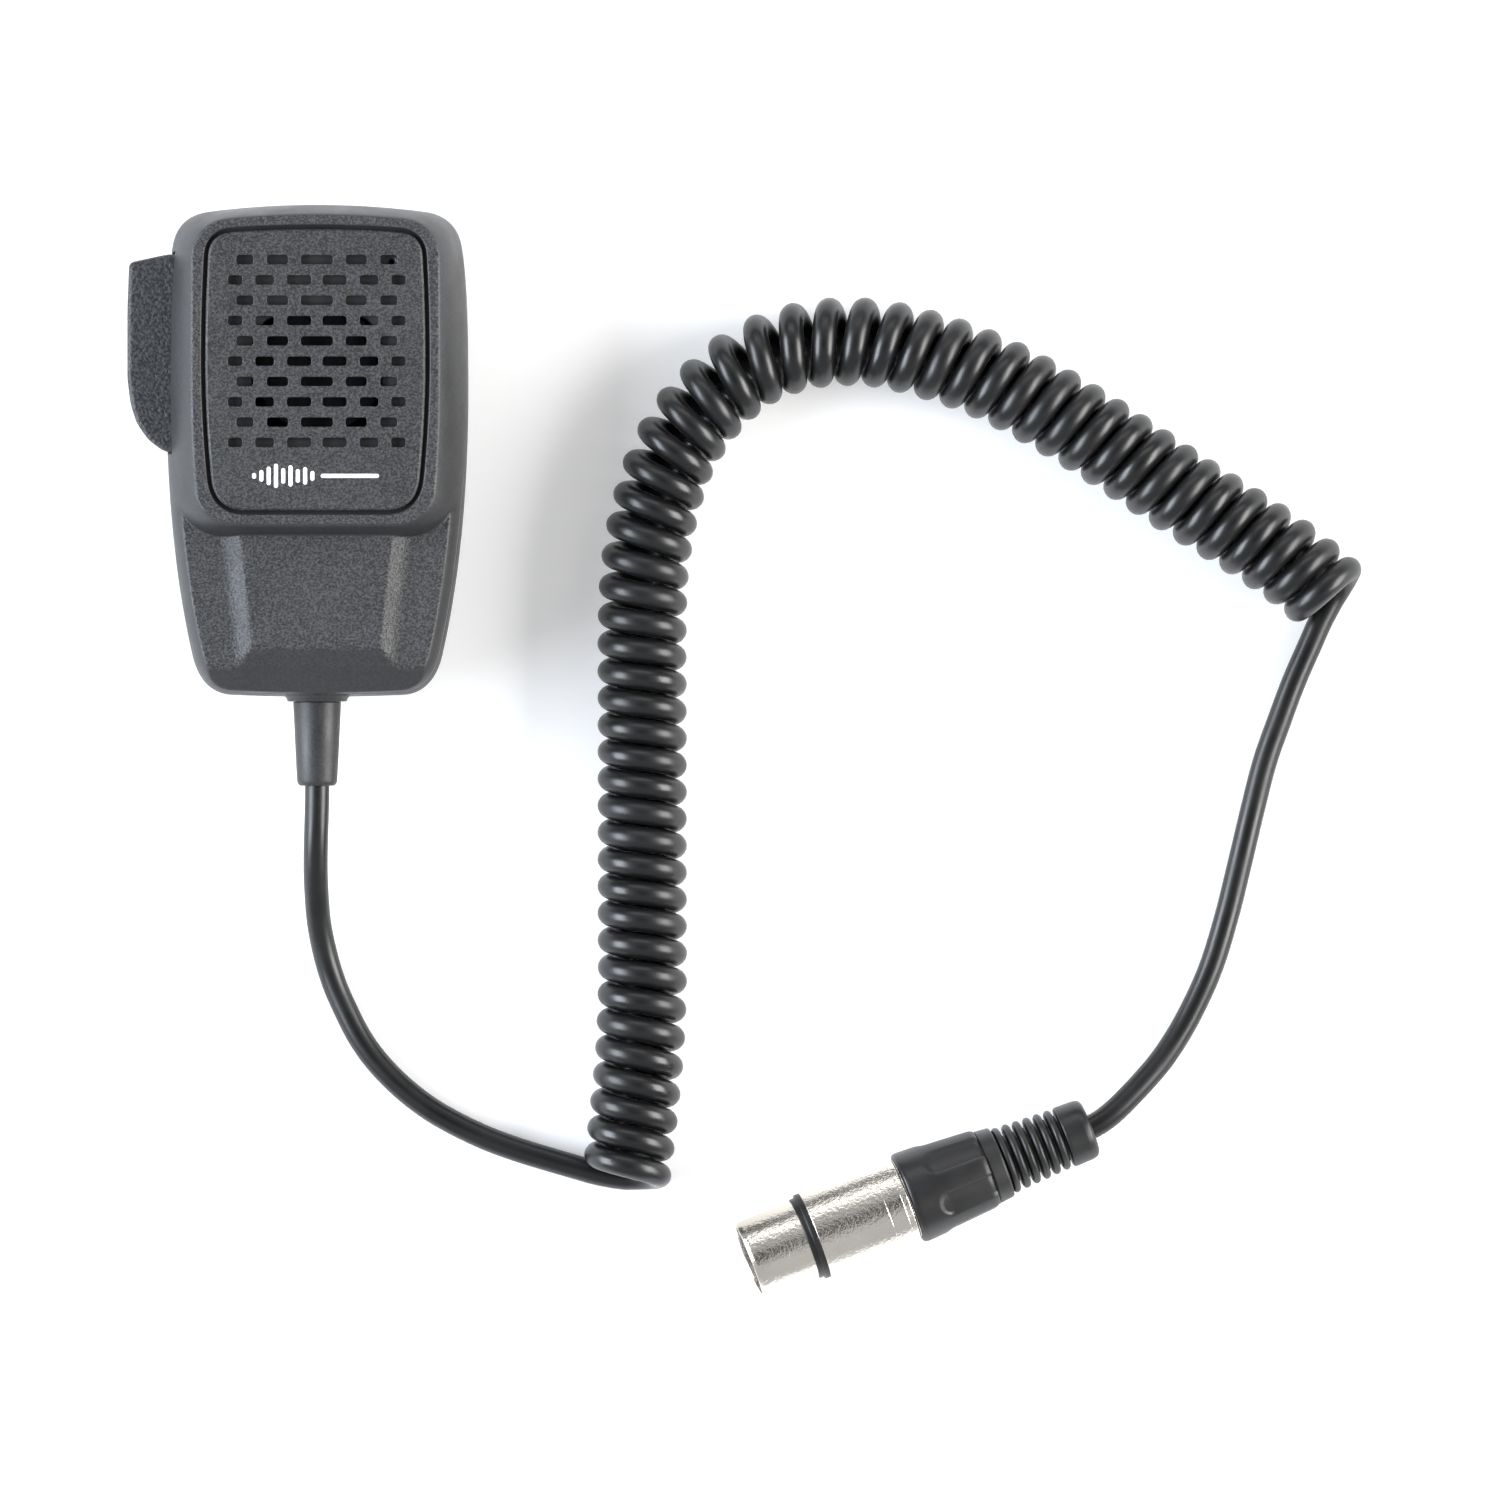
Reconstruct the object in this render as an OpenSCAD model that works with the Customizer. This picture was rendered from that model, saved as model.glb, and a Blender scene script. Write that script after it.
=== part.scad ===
// Hand microphone with a talk lever, a curly cord and a four-contact cable plug.
// It lies on its back: +X to the right, +Y to the top edge, +Z out of the front.
// The origin is below the middle of the microphone, on the surface that it lies on.

/* [Housing] */
// Width across the widest part of the housing
body_w = 62.4; // [61:0.2:64]
// Length from the top edge to the end of the cable boss
body_len = 102.6; // [102:0.2:104]
// Wall thickness of both shells
wall = 2.2; // [2:0.1:2.4]
// Height of the front face round the grille
front_z = 36; // [35.6:0.1:37]

/* [Grille] */
// Height of one slot
slot_h = 1.9; // [1.4:0.1:2.4]
// Distance from one row of slots to the next
slot_pitch = 4.18; // [4:0.02:4.3]
// Rows of slots
slot_rows = 10; // [6:1:10]
// Width of the groove round the grille insert
groove_w = 0.9; // [0.5:0.1:1.2]
// Diameter of the sound port behind the grille
port_d = 25; // [20:0.5:25]

/* [Talk lever] */
// How far the lever stands out beyond the widest part of the housing
lever_proud = 7.75; // [6:0.25:9]
// Thickness of the lever, from back to front
lever_t = 14; // [12:0.5:14]
// Diameter of the pivot pin
pin_d = 3; // [2.5:0.1:3.2]

/* [Hang-up stud] */
// Diameter of the stud's head
stud_head_d = 14; // [12:0.5:16]
// Diameter of the stud's neck, which a hanger's slot takes
stud_neck_d = 8.6; // [8:0.1:9]

/* [Cord] */
// Diameter of the cord
cord_d = 5.1; // [4.8:0.1:5.1]
// Outer diameter of the curly stretch
coil_d = 18.5; // [17.5:0.5:19]
// Length of the strain relief outside the housing
relief_len = 17.4; // [15:0.2:18]

/* [Plug] */
// Diameter of the plug's body
plug_d = 19; // [18.8:0.1:19.2]
// Diameter of the barrel that enters the mating plug
barrel_d = 16.7; // [16.6:0.1:16.8]
// How far the nose of the plug is lifted, in degrees
plug_tilt = 4.5; // [3.5:0.1:4.6]

/* [Hidden] */

$fn = 64;
hull_fn = 32;
eps = 0.01;
far = 200;
gap = 0.4;          // between a moving piece and what it passes
snug = 0.05;        // radial clearance of a pin, screw or cord in its hole

// Housing: x is counted from the centreline, which lies axis_x to the right of the origin
half_w = body_w / 2;
top_y = body_len / 2;
boss_len = 1;
bottom_y = boss_len - top_y;
axis_x = lever_proud / 2;
parting_z = 15;     // also the height of the cable exit
back_z = 5;
floor_z = back_z + wall;
lower_z = 29;       // front face below the grille
panel_z = 30.5;     // raised panel on that face
step_y = -18.3;     // foot of the step between the two faces
step_top_y = -15.2;
ceiling_z = front_z - 5;
lower_ceiling_z = 26.4;
pocket_z = front_z - 2.8;
edge_half_w = half_w - 6;
edge_top_y = top_y - 2.4;

// Grille
insert_t = 1.6;
insert_top_y = 45.6;
insert_half_w = 22.7;
insert_low_y = -11.9;
pattern_x = 0.3;
first_row_y = 39.6;
long_row = [[0, 6.6], [8.1, 4.35], [14.8, 3.5]];          // [centre, width], mirrored
short_row = [[3.65, 5], [10.75, 3.85], [16.8, 2.95]];
port = [0.7, 17.3];
vent = [16, 38.9];
vent_r = 0.6;

// Case screws: [x, y, top of the front post]
case_posts = [[16.2, 43.5, 31.5], [-16.2, 43.5, 31.5], [17, -40, 27], [-17, -40, 27]];
case_screw_r = 1.45;
case_head_z = 6.4;
case_seat_z = 8.4;

// Talk lever
lever_z = 12.5;
lever_out_x = -half_w - lever_proud;
pivot = [-26.2, 3];
pin_z = [9.5, 29.5];
window_x = -27;                  // the lever's window is open from here outwards
window_y = [-0.2, 41.4];
plate_x = [-26.9, -25.4];
plate_top_y = 42.8;
lever_spring = [33, 19.5];       // y and z of its axis
rib_x = -19;

// Switch and board
board = [[-22.8, -20], [16, 28]];
board_z = 10;
board_t = 1.6;
board_posts = [[11, 24], [-19, -15], [11, -15]];
switch_at = [-22.4, 8];
switch_size = [10, 20, 6.4];
plunger = [17, 14.8];            // y and z of its axis
plunger_r = 1.2;

// Capsule
capsule_r = 11.5;
capsule_z = [21.5, 30.2];
boot_r = 13.3;

// Cable entry
relief_r = 4.95;
relief_tip_r = 4.15;
relief_hole_r = 4.45;
flange_r = 5.8;                  // the strain relief's flange, inside the housing
flange_at = [3.4, 5];            // how far in it starts and ends
cord_r = cord_d / 2;
clamp_y = [-42, -37];
clamp_half_w = 9.5;
clamp_screw_x = 6.5;
cord_start_y = -36;
stud_y = 25;

// Free cord: the lead from the strain relief to the curly stretch
lead_route = [[3.9, -36, 15], [3.9, -52, 15], [3.9, -68, 15], [3.8, -74, 14.7], [3.6, -80, 13.6],
              [3.5, -86, 11.6], [3.7, -92, 8.8], [4.1, -97, 6.3], [4.9, -101.5, 4.4], [6, -106, 3.2],
              [7.5, -110.5, 2.7], [9.5, -115, 2.6], [12, -120, 2.6], [15, -124.5, 2.6],
              [18.5, -128.5, 2.6], [22.5, -132.2, 2.6], [27.5, -135.9, 2.6], [33, -139, 2.6],
              [39, -141.8, 2.6], [45, -144, 2.6], [51.5, -146, 2.6], [57, -147.6, 2.6], [62, -149, 2.6]];
// Middle line of the curly stretch, which lies on the surface
coil_axis = [[68, -152], [69, -135], [70.5, -123], [71, -111], [71, -98], [71, -86], [71, -73],
             [71, -61], [71, -49], [71, -36], [71.5, -24], [73.5, -12], [77.5, 0], [84.5, 10.5],
             [94, 18.5], [105.5, 22.5], [118, 23], [130, 20.5], [141.5, 16.5], [152.5, 11],
             [163.5, 4.5], [173.5, -2], [184, -9], [194.5, -15.5], [205, -22.5], [215, -29.5]];
// The tail from the curly stretch to the plug
tail_route = [[211.5, -34.5, 2.6], [209.5, -39, 2.6], [206, -47, 2.6], [203, -55, 2.6],
              [200, -63.5, 2.6], [197.3, -74, 2.6], [194.8, -84.5, 2.6], [192, -95.8, 2.6],
              [188.5, -107, 2.6], [183.3, -118, 2.9], [178.7, -125.2, 3.7], [175, -129.6, 4.7],
              [171.5, -133.3, 5.6], [168.2, -136.45, 6.3]];
cord_sides = 10;
coil_sides = 12;

// Plug: lengths are counted along its axis towards the nose, from a point on the cord behind it
plug_rear = [164.55, -139];
plug_heading = 201.3;
relief_start_s = 1;
relief_end_s = 24;
collar_s = 41.7;
neck_s = 43.65;
ring_s = 62.45;
barrel_s = 64.65;
nose_s = 77.05;
collar_r = 9.75;
collar_wide_s = 40.8;
rest_r = 9.35;       // the plug rests on its collar here
rest_s = 33;
plug_rear_z = rest_r * cos(plug_tilt) - rest_s * sin(plug_tilt);
plug_r = plug_d / 2;
barrel_r = barrel_d / 2;
seal_r = barrel_r - 0.2;     // of the seat under the seal ring
bore_r = 2.6;
ribs = 6;
rib_pitch = 2.27;
first_rib_s = 6.9;
band_s = first_rib_s + ribs * rib_pitch;
cord_end_s = 43.8;
contact_angles = [55, 125, 235, 305];
contact_circle_r = 4.4;
contact_r = 1.6;
contact_s = [47, 75];
latch_half_w = 2.3;
latch_s = [55.2, 73];
button_s = [56.2, 61.8];
hook_s = [70.3, 72];
latch_x = [5.5, 6.9];
latch_spring_s = 59;

// Quadratic curve from a to c, bent towards b, without its last point
function bend(a, b, c, n) =
    [for (i = [0:n - 1]) let (t = i / n) (1 - t) * (1 - t) * a + 2 * t * (1 - t) * b + t * t * c];
function mirrored(right) = concat(right, [for (i = [len(right) - 1:-1:1]) [-right[i].x, right[i].y]]);

outline_pts = mirrored(concat(
    bend([0, top_y], [12, top_y], [half_w - 8.2, top_y - 1.5], 3),
    bend([half_w - 8.2, top_y - 1.5], [half_w - 2.5, top_y - 2.6], [half_w - 1.4, top_y - 8.3], 6),
    bend([half_w - 1.4, top_y - 8.3], [half_w - 0.1, top_y - 15.3], [half_w, 18], 3),
    bend([half_w, 18], [half_w + 0.4, -16], [half_w - 5.2, -41], 6),
    bend([half_w - 5.2, -41], [half_w - 6.9, bottom_y + 1], [half_w - 13.2, bottom_y + 0.4], 6),
    bend([half_w - 13.2, bottom_y + 0.4], [9, bottom_y], [0, bottom_y], 2),
    [[0.5, bottom_y]]));

insert_pts = mirrored(concat(
    bend([0, insert_top_y + 0.3], [9, insert_top_y + 0.3], [insert_half_w - 5.7, insert_top_y - 0.3], 3),
    bend([insert_half_w - 5.7, insert_top_y - 0.3], [insert_half_w - 0.9, insert_top_y - 0.6],
         [insert_half_w - 0.6, insert_top_y - 5.2], 6),
    bend([insert_half_w - 0.6, insert_top_y - 5.2], [insert_half_w, 30], [insert_half_w, 18], 3),
    bend([insert_half_w, 18], [insert_half_w, 6], [insert_half_w - 0.9, insert_low_y + 5], 4),
    bend([insert_half_w - 0.9, insert_low_y + 5], [insert_half_w - 1.3, insert_low_y + 0.1],
         [insert_half_w - 5.7, insert_low_y], 6),
    [[insert_half_w - 5.7, insert_low_y], [0.5, insert_low_y]]));

// Sweeps
function unit(v) = v / norm(v);
function heading(path, i) = unit(path[min(i + 1, len(path) - 1)] - path[max(i - 1, 0)]);
function ring(centre, along, r, sides, ref) =
    let (side = unit(cross(ref, along)), up = cross(along, side))
    [for (k = [0:sides - 1]) centre + r * (cos(360 * k / sides) * side + sin(360 * k / sides) * up)];
function helix(r, length, turns, steps = 10) =
    [for (i = [0:turns * steps]) [r * cos(360 * i / steps), r * sin(360 * i / steps),
                                  length * i / (turns * steps)]];

module tube(path, r, sides, ref = [0, 0, 1]) {
    m = len(path);
    points = [for (i = [0:m - 1]) each ring(path[i], heading(path, i), r, sides, ref)];
    quads = [for (i = [0:m - 2], k = [0:sides - 1]) [i * sides + k, i * sides + (k + 1) % sides]];
    faces = concat([[for (k = [0:sides - 1]) k]],
                   [for (q = quads) [q[0], q[0] + sides, q[1] + sides]],
                   [for (q = quads) [q[0], q[1] + sides, q[1]]],
                   [[for (k = [sides - 1:-1:0]) (m - 1) * sides + k]]);
    polyhedron(points, faces);
}

module on_centreline() {
    translate([axis_x, 0, 0]) children();
}

module at_plug() {
    translate([plug_rear.x, plug_rear.y, plug_rear_z])
        rotate([0, 0, plug_heading]) rotate([0, 90 - plug_tilt, 0]) children();
}

function plug_point(s) =
    [plug_rear.x + s * cos(plug_tilt) * cos(plug_heading),
     plug_rear.y + s * cos(plug_tilt) * sin(plug_heading),
     plug_rear_z + s * sin(plug_tilt)];

// Housing shapes
module slice(z, inset = 0, low_y = -far, high_y = far, h = eps) {
    translate([0, 0, z]) linear_extrude(h) intersection() {
        offset(delta = -inset) polygon(outline_pts);
        translate([-far, low_y]) square([2 * far, high_y - low_y]);
    }
}

module patch(z, half, low_y, high_y) {
    corner = 4;
    translate([0, 0, z]) linear_extrude(eps) offset(r = corner, $fn = hull_fn)
        translate([corner - half, low_y + corner]) square([2 * (half - corner), high_y - low_y - 2 * corner]);
}

module front_solid() {
    hull() {
        slice(parting_z, 0, -far, step_y, 7);
        slice(26, 1, -far, step_y);
        slice(lower_z - eps, 2.5, -41, step_y);
    }
    hull() {
        slice(parting_z, 0, step_y, far, 7);
        slice(lower_z, 0.8, step_y);
        slice(front_z - 3, 3, step_y + 1.2);
        patch(front_z - eps, edge_half_w, step_top_y, edge_top_y);
    }
    hull() {
        translate([0, 0, lower_z - 1]) linear_extrude(eps)
            polygon([[-19.8, -12], [-16, -43], [16, -43], [19.8, -12]]);
        translate([0, 0, panel_z - eps]) linear_extrude(eps)
            polygon([[-16.2, -12], [-13.1, -39.8], [13.1, -39.8], [16.2, -12]]);
    }
}

module front_cavity() {
    hull() {
        slice(parting_z - 1, wall, -far, step_y + wall, 8);
        slice(lower_ceiling_z, wall + 2.8, -39, step_y + wall);
    }
    hull() {
        slice(parting_z - 1, wall, step_y + wall);
        slice(28, wall + 0.6, step_y + wall);
        slice(ceiling_z - eps, wall + 3.2, step_y + wall + 1);
    }
}

module rear_solid() {
    hull() {
        slice(parting_z - eps);
        slice(9.5, 0.6);
        slice(7, 2.2);
        slice(back_z, 5);
    }
    hull() {
        patch(6, 23, -46, -4);
        patch(2.6, 20, -44, -9);
        patch(0.8, 17, -42.5, -12);
        patch(0, 14, -40.5, -15);
    }
}

module rear_cavity() {
    hull() {
        slice(parting_z, wall);
        slice(9.8, wall + 0.6);
        slice(floor_z, 6.5);
    }
    hull() {
        patch(floor_z + eps, 11, -36, -12);
        patch(wall, 9, -34.5, -14);
    }
}

module lever_window() {
    translate([-far, window_y[0], lever_z - gap])
        cube([far + window_x, window_y[1] - window_y[0], lever_t + 2 * gap]);
}

module alignment_lip() {
    difference() {
        translate([0, 0, parting_z - 1.2]) linear_extrude(2.6) difference() {
            offset(delta = -wall - 0.1) polygon(outline_pts);
            offset(delta = -wall - 1.1) polygon(outline_pts);
        }
        translate([-far, -1, 0]) cube([far - 24, 46, far]);
        translate([-7.5, bottom_y - 1, 0]) cube([15, 8, far]);
    }
}

module along_y(y0, y1, r, z = parting_z) {
    translate([0, y0, z]) rotate([-90, 0, 0]) cylinder(r = r, h = y1 - y0);
}

module along_x(x0, x1, r, y, z) {
    translate([x0, y, z]) rotate([0, 90, 0]) cylinder(r = r, h = x1 - x0);
}

module post(at, z0, z1, r) {
    translate([at[0], at[1], z0]) cylinder(r = r, h = z1 - z0);
}

module cable_boss(front) {
    intersection() {
        along_y(-top_y, bottom_y + 1.3, 6.2);
        translate([-10, -top_y, front ? parting_z : 0]) cube([20, 6, front ? 10 : parting_z]);
    }
}

// The hole for the strain relief and the room for its flange
module relief_seat() {
    along_y(-top_y - 1, bottom_y + 4, relief_hole_r);
    along_y(flange_at[0] - snug - top_y, flange_at[1] + 1 - top_y, flange_r + snug);
}

module front_shell() {
    color("#3c3d3f") on_centreline() difference() {
        union() {
            difference() {
                front_solid();
                front_cavity();
            }
            for (p = case_posts) post(p, parting_z + 0.2, p[2], 3.2);
            post(pivot, lever_z + lever_t + gap, ceiling_z + 0.5, 2.8);
            cable_boss(true);
        }
        translate([0, 0, pocket_z]) linear_extrude(far) offset(delta = groove_w) polygon(insert_pts);
        post(port, ceiling_z - 1, front_z, port_d / 2);
        post(vent, ceiling_z - 1, front_z, vent_r);
        lever_window();
        relief_seat();
        for (p = case_posts) post(p, parting_z, p[2] - 1, case_screw_r + snug);
        post(pivot, 20, pin_z[1] + 0.1, pin_d / 2 + 0.02);
    }
}

module rear_shell() {
    color("#38393b") on_centreline() difference() {
        union() {
            difference() {
                rear_solid();
                rear_cavity();
            }
            alignment_lip();
            for (p = case_posts) post(p, 5.6, parting_z - eps, 4.6);
            for (p = board_posts) post(p, 6.6, board_z, 2.4);
            post(pivot, 6.6, lever_z - gap, 2.8);
            translate([rib_x, lever_spring[0] - 3.5, 6.6]) cube([2, 7, 17.4]);
            translate([-clamp_half_w, clamp_y[0], 6]) cube([2 * clamp_half_w, clamp_y[1] - clamp_y[0], 8.9]);
            cable_boss(false);
        }
        lever_window();
        relief_seat();
        along_y(clamp_y[0] - 1, clamp_y[1] + 1, cord_r + snug);
        for (x = [-clamp_screw_x, clamp_screw_x]) post([x, -39.5], 7.5, far, 1.2);
        for (p = case_posts) {
            post(p, -1, case_seat_z, 3.2);
            post(p, 0, far, case_screw_r + 0.25);
        }
        for (p = board_posts) post(p, 7.6, far, 1.1);
        post(pivot, pin_z[0] - 0.1, far, pin_d / 2 + 0.02);
        post([0, stud_y], 0, far, 2);
    }
}

module grille_slots() {
    for (row = [0:slot_rows - 1], s = row % 2 == 0 ? long_row : short_row, side = [-1, 1])
        translate([pattern_x + side * s[0] - s[1] / 2, first_row_y - row * slot_pitch - slot_h / 2, 0])
            cube([s[1], slot_h, far]);
}

module grille_insert() {
    color("#3a3b3d") on_centreline() difference() {
        translate([0, 0, pocket_z]) linear_extrude(front_z - pocket_z) polygon(insert_pts);
        translate([0, 0, pocket_z - 1]) linear_extrude(front_z - insert_t - pocket_z + 1)
            offset(delta = -1.2) polygon(insert_pts);
        grille_slots();
    }
}

module acoustic_cloth() {
    color("#101010") on_centreline() post(port, ceiling_z - 0.5, ceiling_z - 0.1, boot_r - 0.1);
}

module mic_capsule() {
    color("#b8babd") on_centreline() translate([port.x, port.y, 0]) difference() {
        union() {
            translate([0, 0, capsule_z[0]]) cylinder(r = capsule_r, h = capsule_z[1] - capsule_z[0]);
            for (x = [-3, 3]) translate([x - 1, -1.5, capsule_z[0] - 0.6]) cube([2, 3, 1]);
        }
        for (a = [0:60:300]) rotate([0, 0, a]) post([6.5, 0], capsule_z[1] - 1, far, 1.2);
        post([0, 0], capsule_z[1] - 1, far, 1.2);
    }
}

module capsule_boot() {
    color("#202020") on_centreline() translate([port.x, port.y, 0]) rotate_extrude()
        polygon([[capsule_r + snug, 22.5], [boot_r - 0.8, 22.5], [boot_r, 23.3],
                 [boot_r, ceiling_z - 0.55], [capsule_r + snug, ceiling_z - 0.55]]);
}

module capsule_leads() {
    start_z = capsule_z[0] - 0.62;
    end_z = board_z + board_t + 0.02;
    straight = 0.6;
    color("#a02020") on_centreline() for (side = [-1, 1]) tube(
        concat([[port.x + 3 * side, port.y, start_z]],
               bend([port.x + 3 * side, port.y, start_z - straight], [port.x + 3 * side, port.y - 1, 17],
                    [3 + 2.5 * side, 8, 15.5], 5),
               bend([3 + 2.5 * side, 8, 15.5], [3 + 2 * side, 0, 14], [3 + 2 * side, 0, end_z + straight], 6),
               [[3 + 2 * side, 0, end_z + straight], [3 + 2 * side, 0, end_z]]), 0.6, 6, [1, 0, 0]);
}

module circuit_board() {
    color("#1f5a35") on_centreline() difference() {
        translate([board[0].x, board[0].y, board_z])
            cube([board[1].x - board[0].x, board[1].y - board[0].y, board_t]);
        for (p = board_posts) post(p, 0, far, 1.3);
    }
}

// A round-headed screw standing on z with its head above, or below when down is set
module screw(at, z, head_r, head_h, shank_r, shank_len, down = false) {
    translate([at[0], at[1], z]) mirror([0, 0, down ? 1 : 0]) difference() {
        union() {
            translate([0, 0, -shank_len]) cylinder(r = shank_r, h = shank_len + eps);
            cylinder(r1 = head_r, r2 = head_r - 0.5, h = head_h);
        }
        for (a = [0, 90]) rotate([0, 0, a]) translate([-head_r * 0.6, -0.3, head_h * 0.5])
            cube([head_r * 1.2, 0.6, head_h]);
    }
}

module board_screws() {
    color("silver") on_centreline() for (p = board_posts) screw(p, board_z + board_t, 2.2, 1.4, 1.05, 3.4);
}

module switch_body() {
    color("#151515") on_centreline() difference() {
        union() {
            translate([switch_at.x, switch_at.y, board_z + board_t]) cube(switch_size);
            along_x(switch_at.x - 0.5, switch_at.x + eps, 1.9, plunger[0], plunger[1]);
        }
        along_x(switch_at.x - 1, -18.2, plunger_r + snug, plunger[0], plunger[1]);
    }
}

module switch_plunger() {
    tip_x = plate_x[1] + 0.3;
    color("#b03028") on_centreline() translate([tip_x, plunger[0], plunger[1]]) rotate([0, 90, 0])
        rotate_extrude() polygon([[0, 0], [0.7, 0], [plunger_r, 0.5], [plunger_r, 5], [0, 5]]);
}

module ptt_lever() {
    color("#2f3032") on_centreline() difference() {
        union() {
            translate([0, 0, lever_z]) linear_extrude(lever_t)
                polygon([[-30.6, 40.9], [lever_out_x + 0.35, 39.2], [lever_out_x, 29.6], [lever_out_x, 15.2],
                         [lever_out_x + 0.65, 10], [lever_out_x + 1.95, 6], [lever_out_x + 4.25, 2.7],
                         [-31.4, 0.2], [plate_x[1], 0.2], [plate_x[1], plate_top_y],
                         [plate_x[0], plate_top_y], [plate_x[0], 40.9]]);
            post(pivot, lever_z, lever_z + lever_t, 3);
        }
        post(pivot, 0, far, pin_d / 2 + 0.06);
    }
}

module ptt_pivot_pin() {
    color("silver") on_centreline() post(pivot, pin_z[0], pin_z[1], pin_d / 2);
}

module ptt_return_spring() {
    wire_r = 0.3;
    start_x = plate_x[1] + wire_r + 0.1;
    color("silver") on_centreline() translate([start_x, lever_spring[0], lever_spring[1]])
        rotate([0, 90, 0]) tube(helix(2.5, rib_x - start_x - wire_r - 0.05, 5), wire_r, 6);
}

module hang_stud() {
    head_r = stud_head_d / 2;
    neck_r = stud_neck_d / 2;
    color("#c8c8c4") on_centreline() translate([0, stud_y, 0]) rotate_extrude()
        polygon([[0, 0], [head_r - 0.9, 0], [head_r, 0.8], [head_r, 1.6], [head_r - 0.5, 2.2],
                 [neck_r, 2.2], [neck_r, 4.2], [neck_r + 1.6, 4.2], [neck_r + 1.6, back_z],
                 [1.95, back_z], [1.95, 1.4], [0, 1.4]]);
}

module hang_stud_screw() {
    color("silver") on_centreline() screw([0, stud_y], floor_z + 0.02, 3.2, 1.9, 1.9, 5.4);
}

module case_screws() {
    color("#202020") on_centreline() for (p = case_posts)
        screw(p, case_seat_z - 0.02, 2.8, 1.9, case_screw_r, p[2] - case_seat_z - 2.5, true);
}

module strain_relief() {
    color("#2c2d2f") on_centreline() translate([0, -top_y, parting_z]) rotate([90, 0, 0]) rotate_extrude()
        polygon([[bore_r, -flange_at[1]], [flange_r, -flange_at[1]], [flange_r, -flange_at[0]],
                 [relief_hole_r - snug, -flange_at[0]], [relief_hole_r - snug, 0], [relief_r, 0],
                 [relief_tip_r, relief_len - 0.7], [relief_tip_r - 0.5, relief_len - 0.1],
                 [relief_tip_r - 0.9, relief_len], [bore_r, relief_len]]);
}

module cable_clamp() {
    color("#c0c2c4") on_centreline() difference() {
        translate([-clamp_half_w, clamp_y[0], parting_z + 0.1])
            cube([2 * clamp_half_w, clamp_y[1] - clamp_y[0], 4]);
        along_y(clamp_y[0] - 1, clamp_y[1] + 1, cord_r + snug);
        for (x = [-clamp_screw_x, clamp_screw_x]) post([x, -39.5], 0, far, 1.4);
    }
}

module clamp_screws() {
    color("silver") on_centreline() for (x = [-clamp_screw_x, clamp_screw_x])
        screw([x, -39.5], parting_z + 4.1, 2.3, 1.4, 1.15, 11);
}

module cord_conductors() {
    start_y = cord_start_y + 0.05;
    end_z = board_z + board_t + 0.02;
    straight = 0.6;
    color("#d0a020") on_centreline() for (i = [0:3])
        tube(concat([[0.8 * i - 1.2, start_y, parting_z]],
                    bend([0.8 * i - 1.2, start_y + straight, parting_z], [0.8 * i - 1.2, -30, parting_z + 1],
                         [2 * i - 3, -24, parting_z], 5),
                    bend([2 * i - 3, -24, parting_z], [2 * i - 3, -18, parting_z - 1],
                         [2 * i - 3, -17, end_z + straight], 5),
                    [[2 * i - 3, -17, end_z + straight], [2 * i - 3, -17, end_z]]), 0.38, 6, [1, 0, 0]);
}

module cord_lead() {
    color("#26272a") tube(lead_route, cord_r, cord_sides);
}

module cord_curly() {
    color("#26272a") tube([for (p = coil_axis) [p.x, p.y, coil_d / 2]], coil_d / 2, coil_sides);
}

module cord_tail() {
    color("#26272a") tube(concat(tail_route, [for (s = [0, 12, 28, cord_end_s]) plug_point(s)]),
                          cord_r, cord_sides);
}

module plug_bend_relief() {
    color("#232325") at_plug() rotate_extrude() polygon(concat(
        [[bore_r, relief_start_s], [5.5, relief_start_s], [6.3, relief_start_s + 0.9], [6.5, first_rib_s]],
        [for (i = [0:ribs - 1]) let (s = first_rib_s + i * rib_pitch, r = 6.5 + 0.12 * i)
            each [[5.5, s + 0.1], [5.5, s + 0.7], [r, s + 0.9], [r, s + rib_pitch - 0.1]]],
        [[5.5, band_s + 0.05], [7.6, band_s + 0.1], [7.9, relief_end_s], [6.2, relief_end_s], [6.2, 31],
         [bore_r, 31]]));
}

module plug_collar() {
    color("#1f1f21") at_plug() rotate_extrude()
        polygon([[6.3, relief_end_s + 0.05], [8.2, relief_end_s + 0.05], [8.5, relief_end_s + 0.6],
                 [rest_r, rest_s], [collar_r, collar_wide_s], [collar_r - 0.3, collar_s], [8.1, collar_s],
                 [8.1, 34], [6.3, 34]]);
}

module plug_chuck() {
    color("#e0e0da") at_plug() rotate_extrude()
        polygon([[bore_r + snug, 31.2], [6.1, 31.2], [6.1, 38], [7.2, 39], [7.2, 43], [bore_r + snug, 43]]);
}

module plug_shell() {
    color("#b9b6ae") at_plug() difference() {
        rotate_extrude()
            polygon([[7.4, 34.2], [8, 34.2], [8, collar_s + 0.05], [8.8, collar_s + 0.05], [8.8, neck_s],
                     [plug_r, neck_s + 0.25], [plug_r, ring_s], [seal_r, ring_s], [seal_r, barrel_s],
                     [barrel_r, barrel_s], [barrel_r, nose_s - 0.5], [barrel_r - 0.5, nose_s],
                     [barrel_r - 0.75, nose_s], [barrel_r - 0.75, 60], [8.2, 60], [8.2, 44], [7.4, 43.2]]);
        translate([7, -latch_half_w - 0.35, button_s[0] - 0.35])
            cube([5, 2 * latch_half_w + 0.7, button_s[1] - button_s[0] + 0.6]);
        translate([7, -latch_half_w - 0.35, hook_s[0] - 0.4])
            cube([5, 2 * latch_half_w + 0.7, hook_s[1] - hook_s[0] + 0.8]);
    }
}

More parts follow.
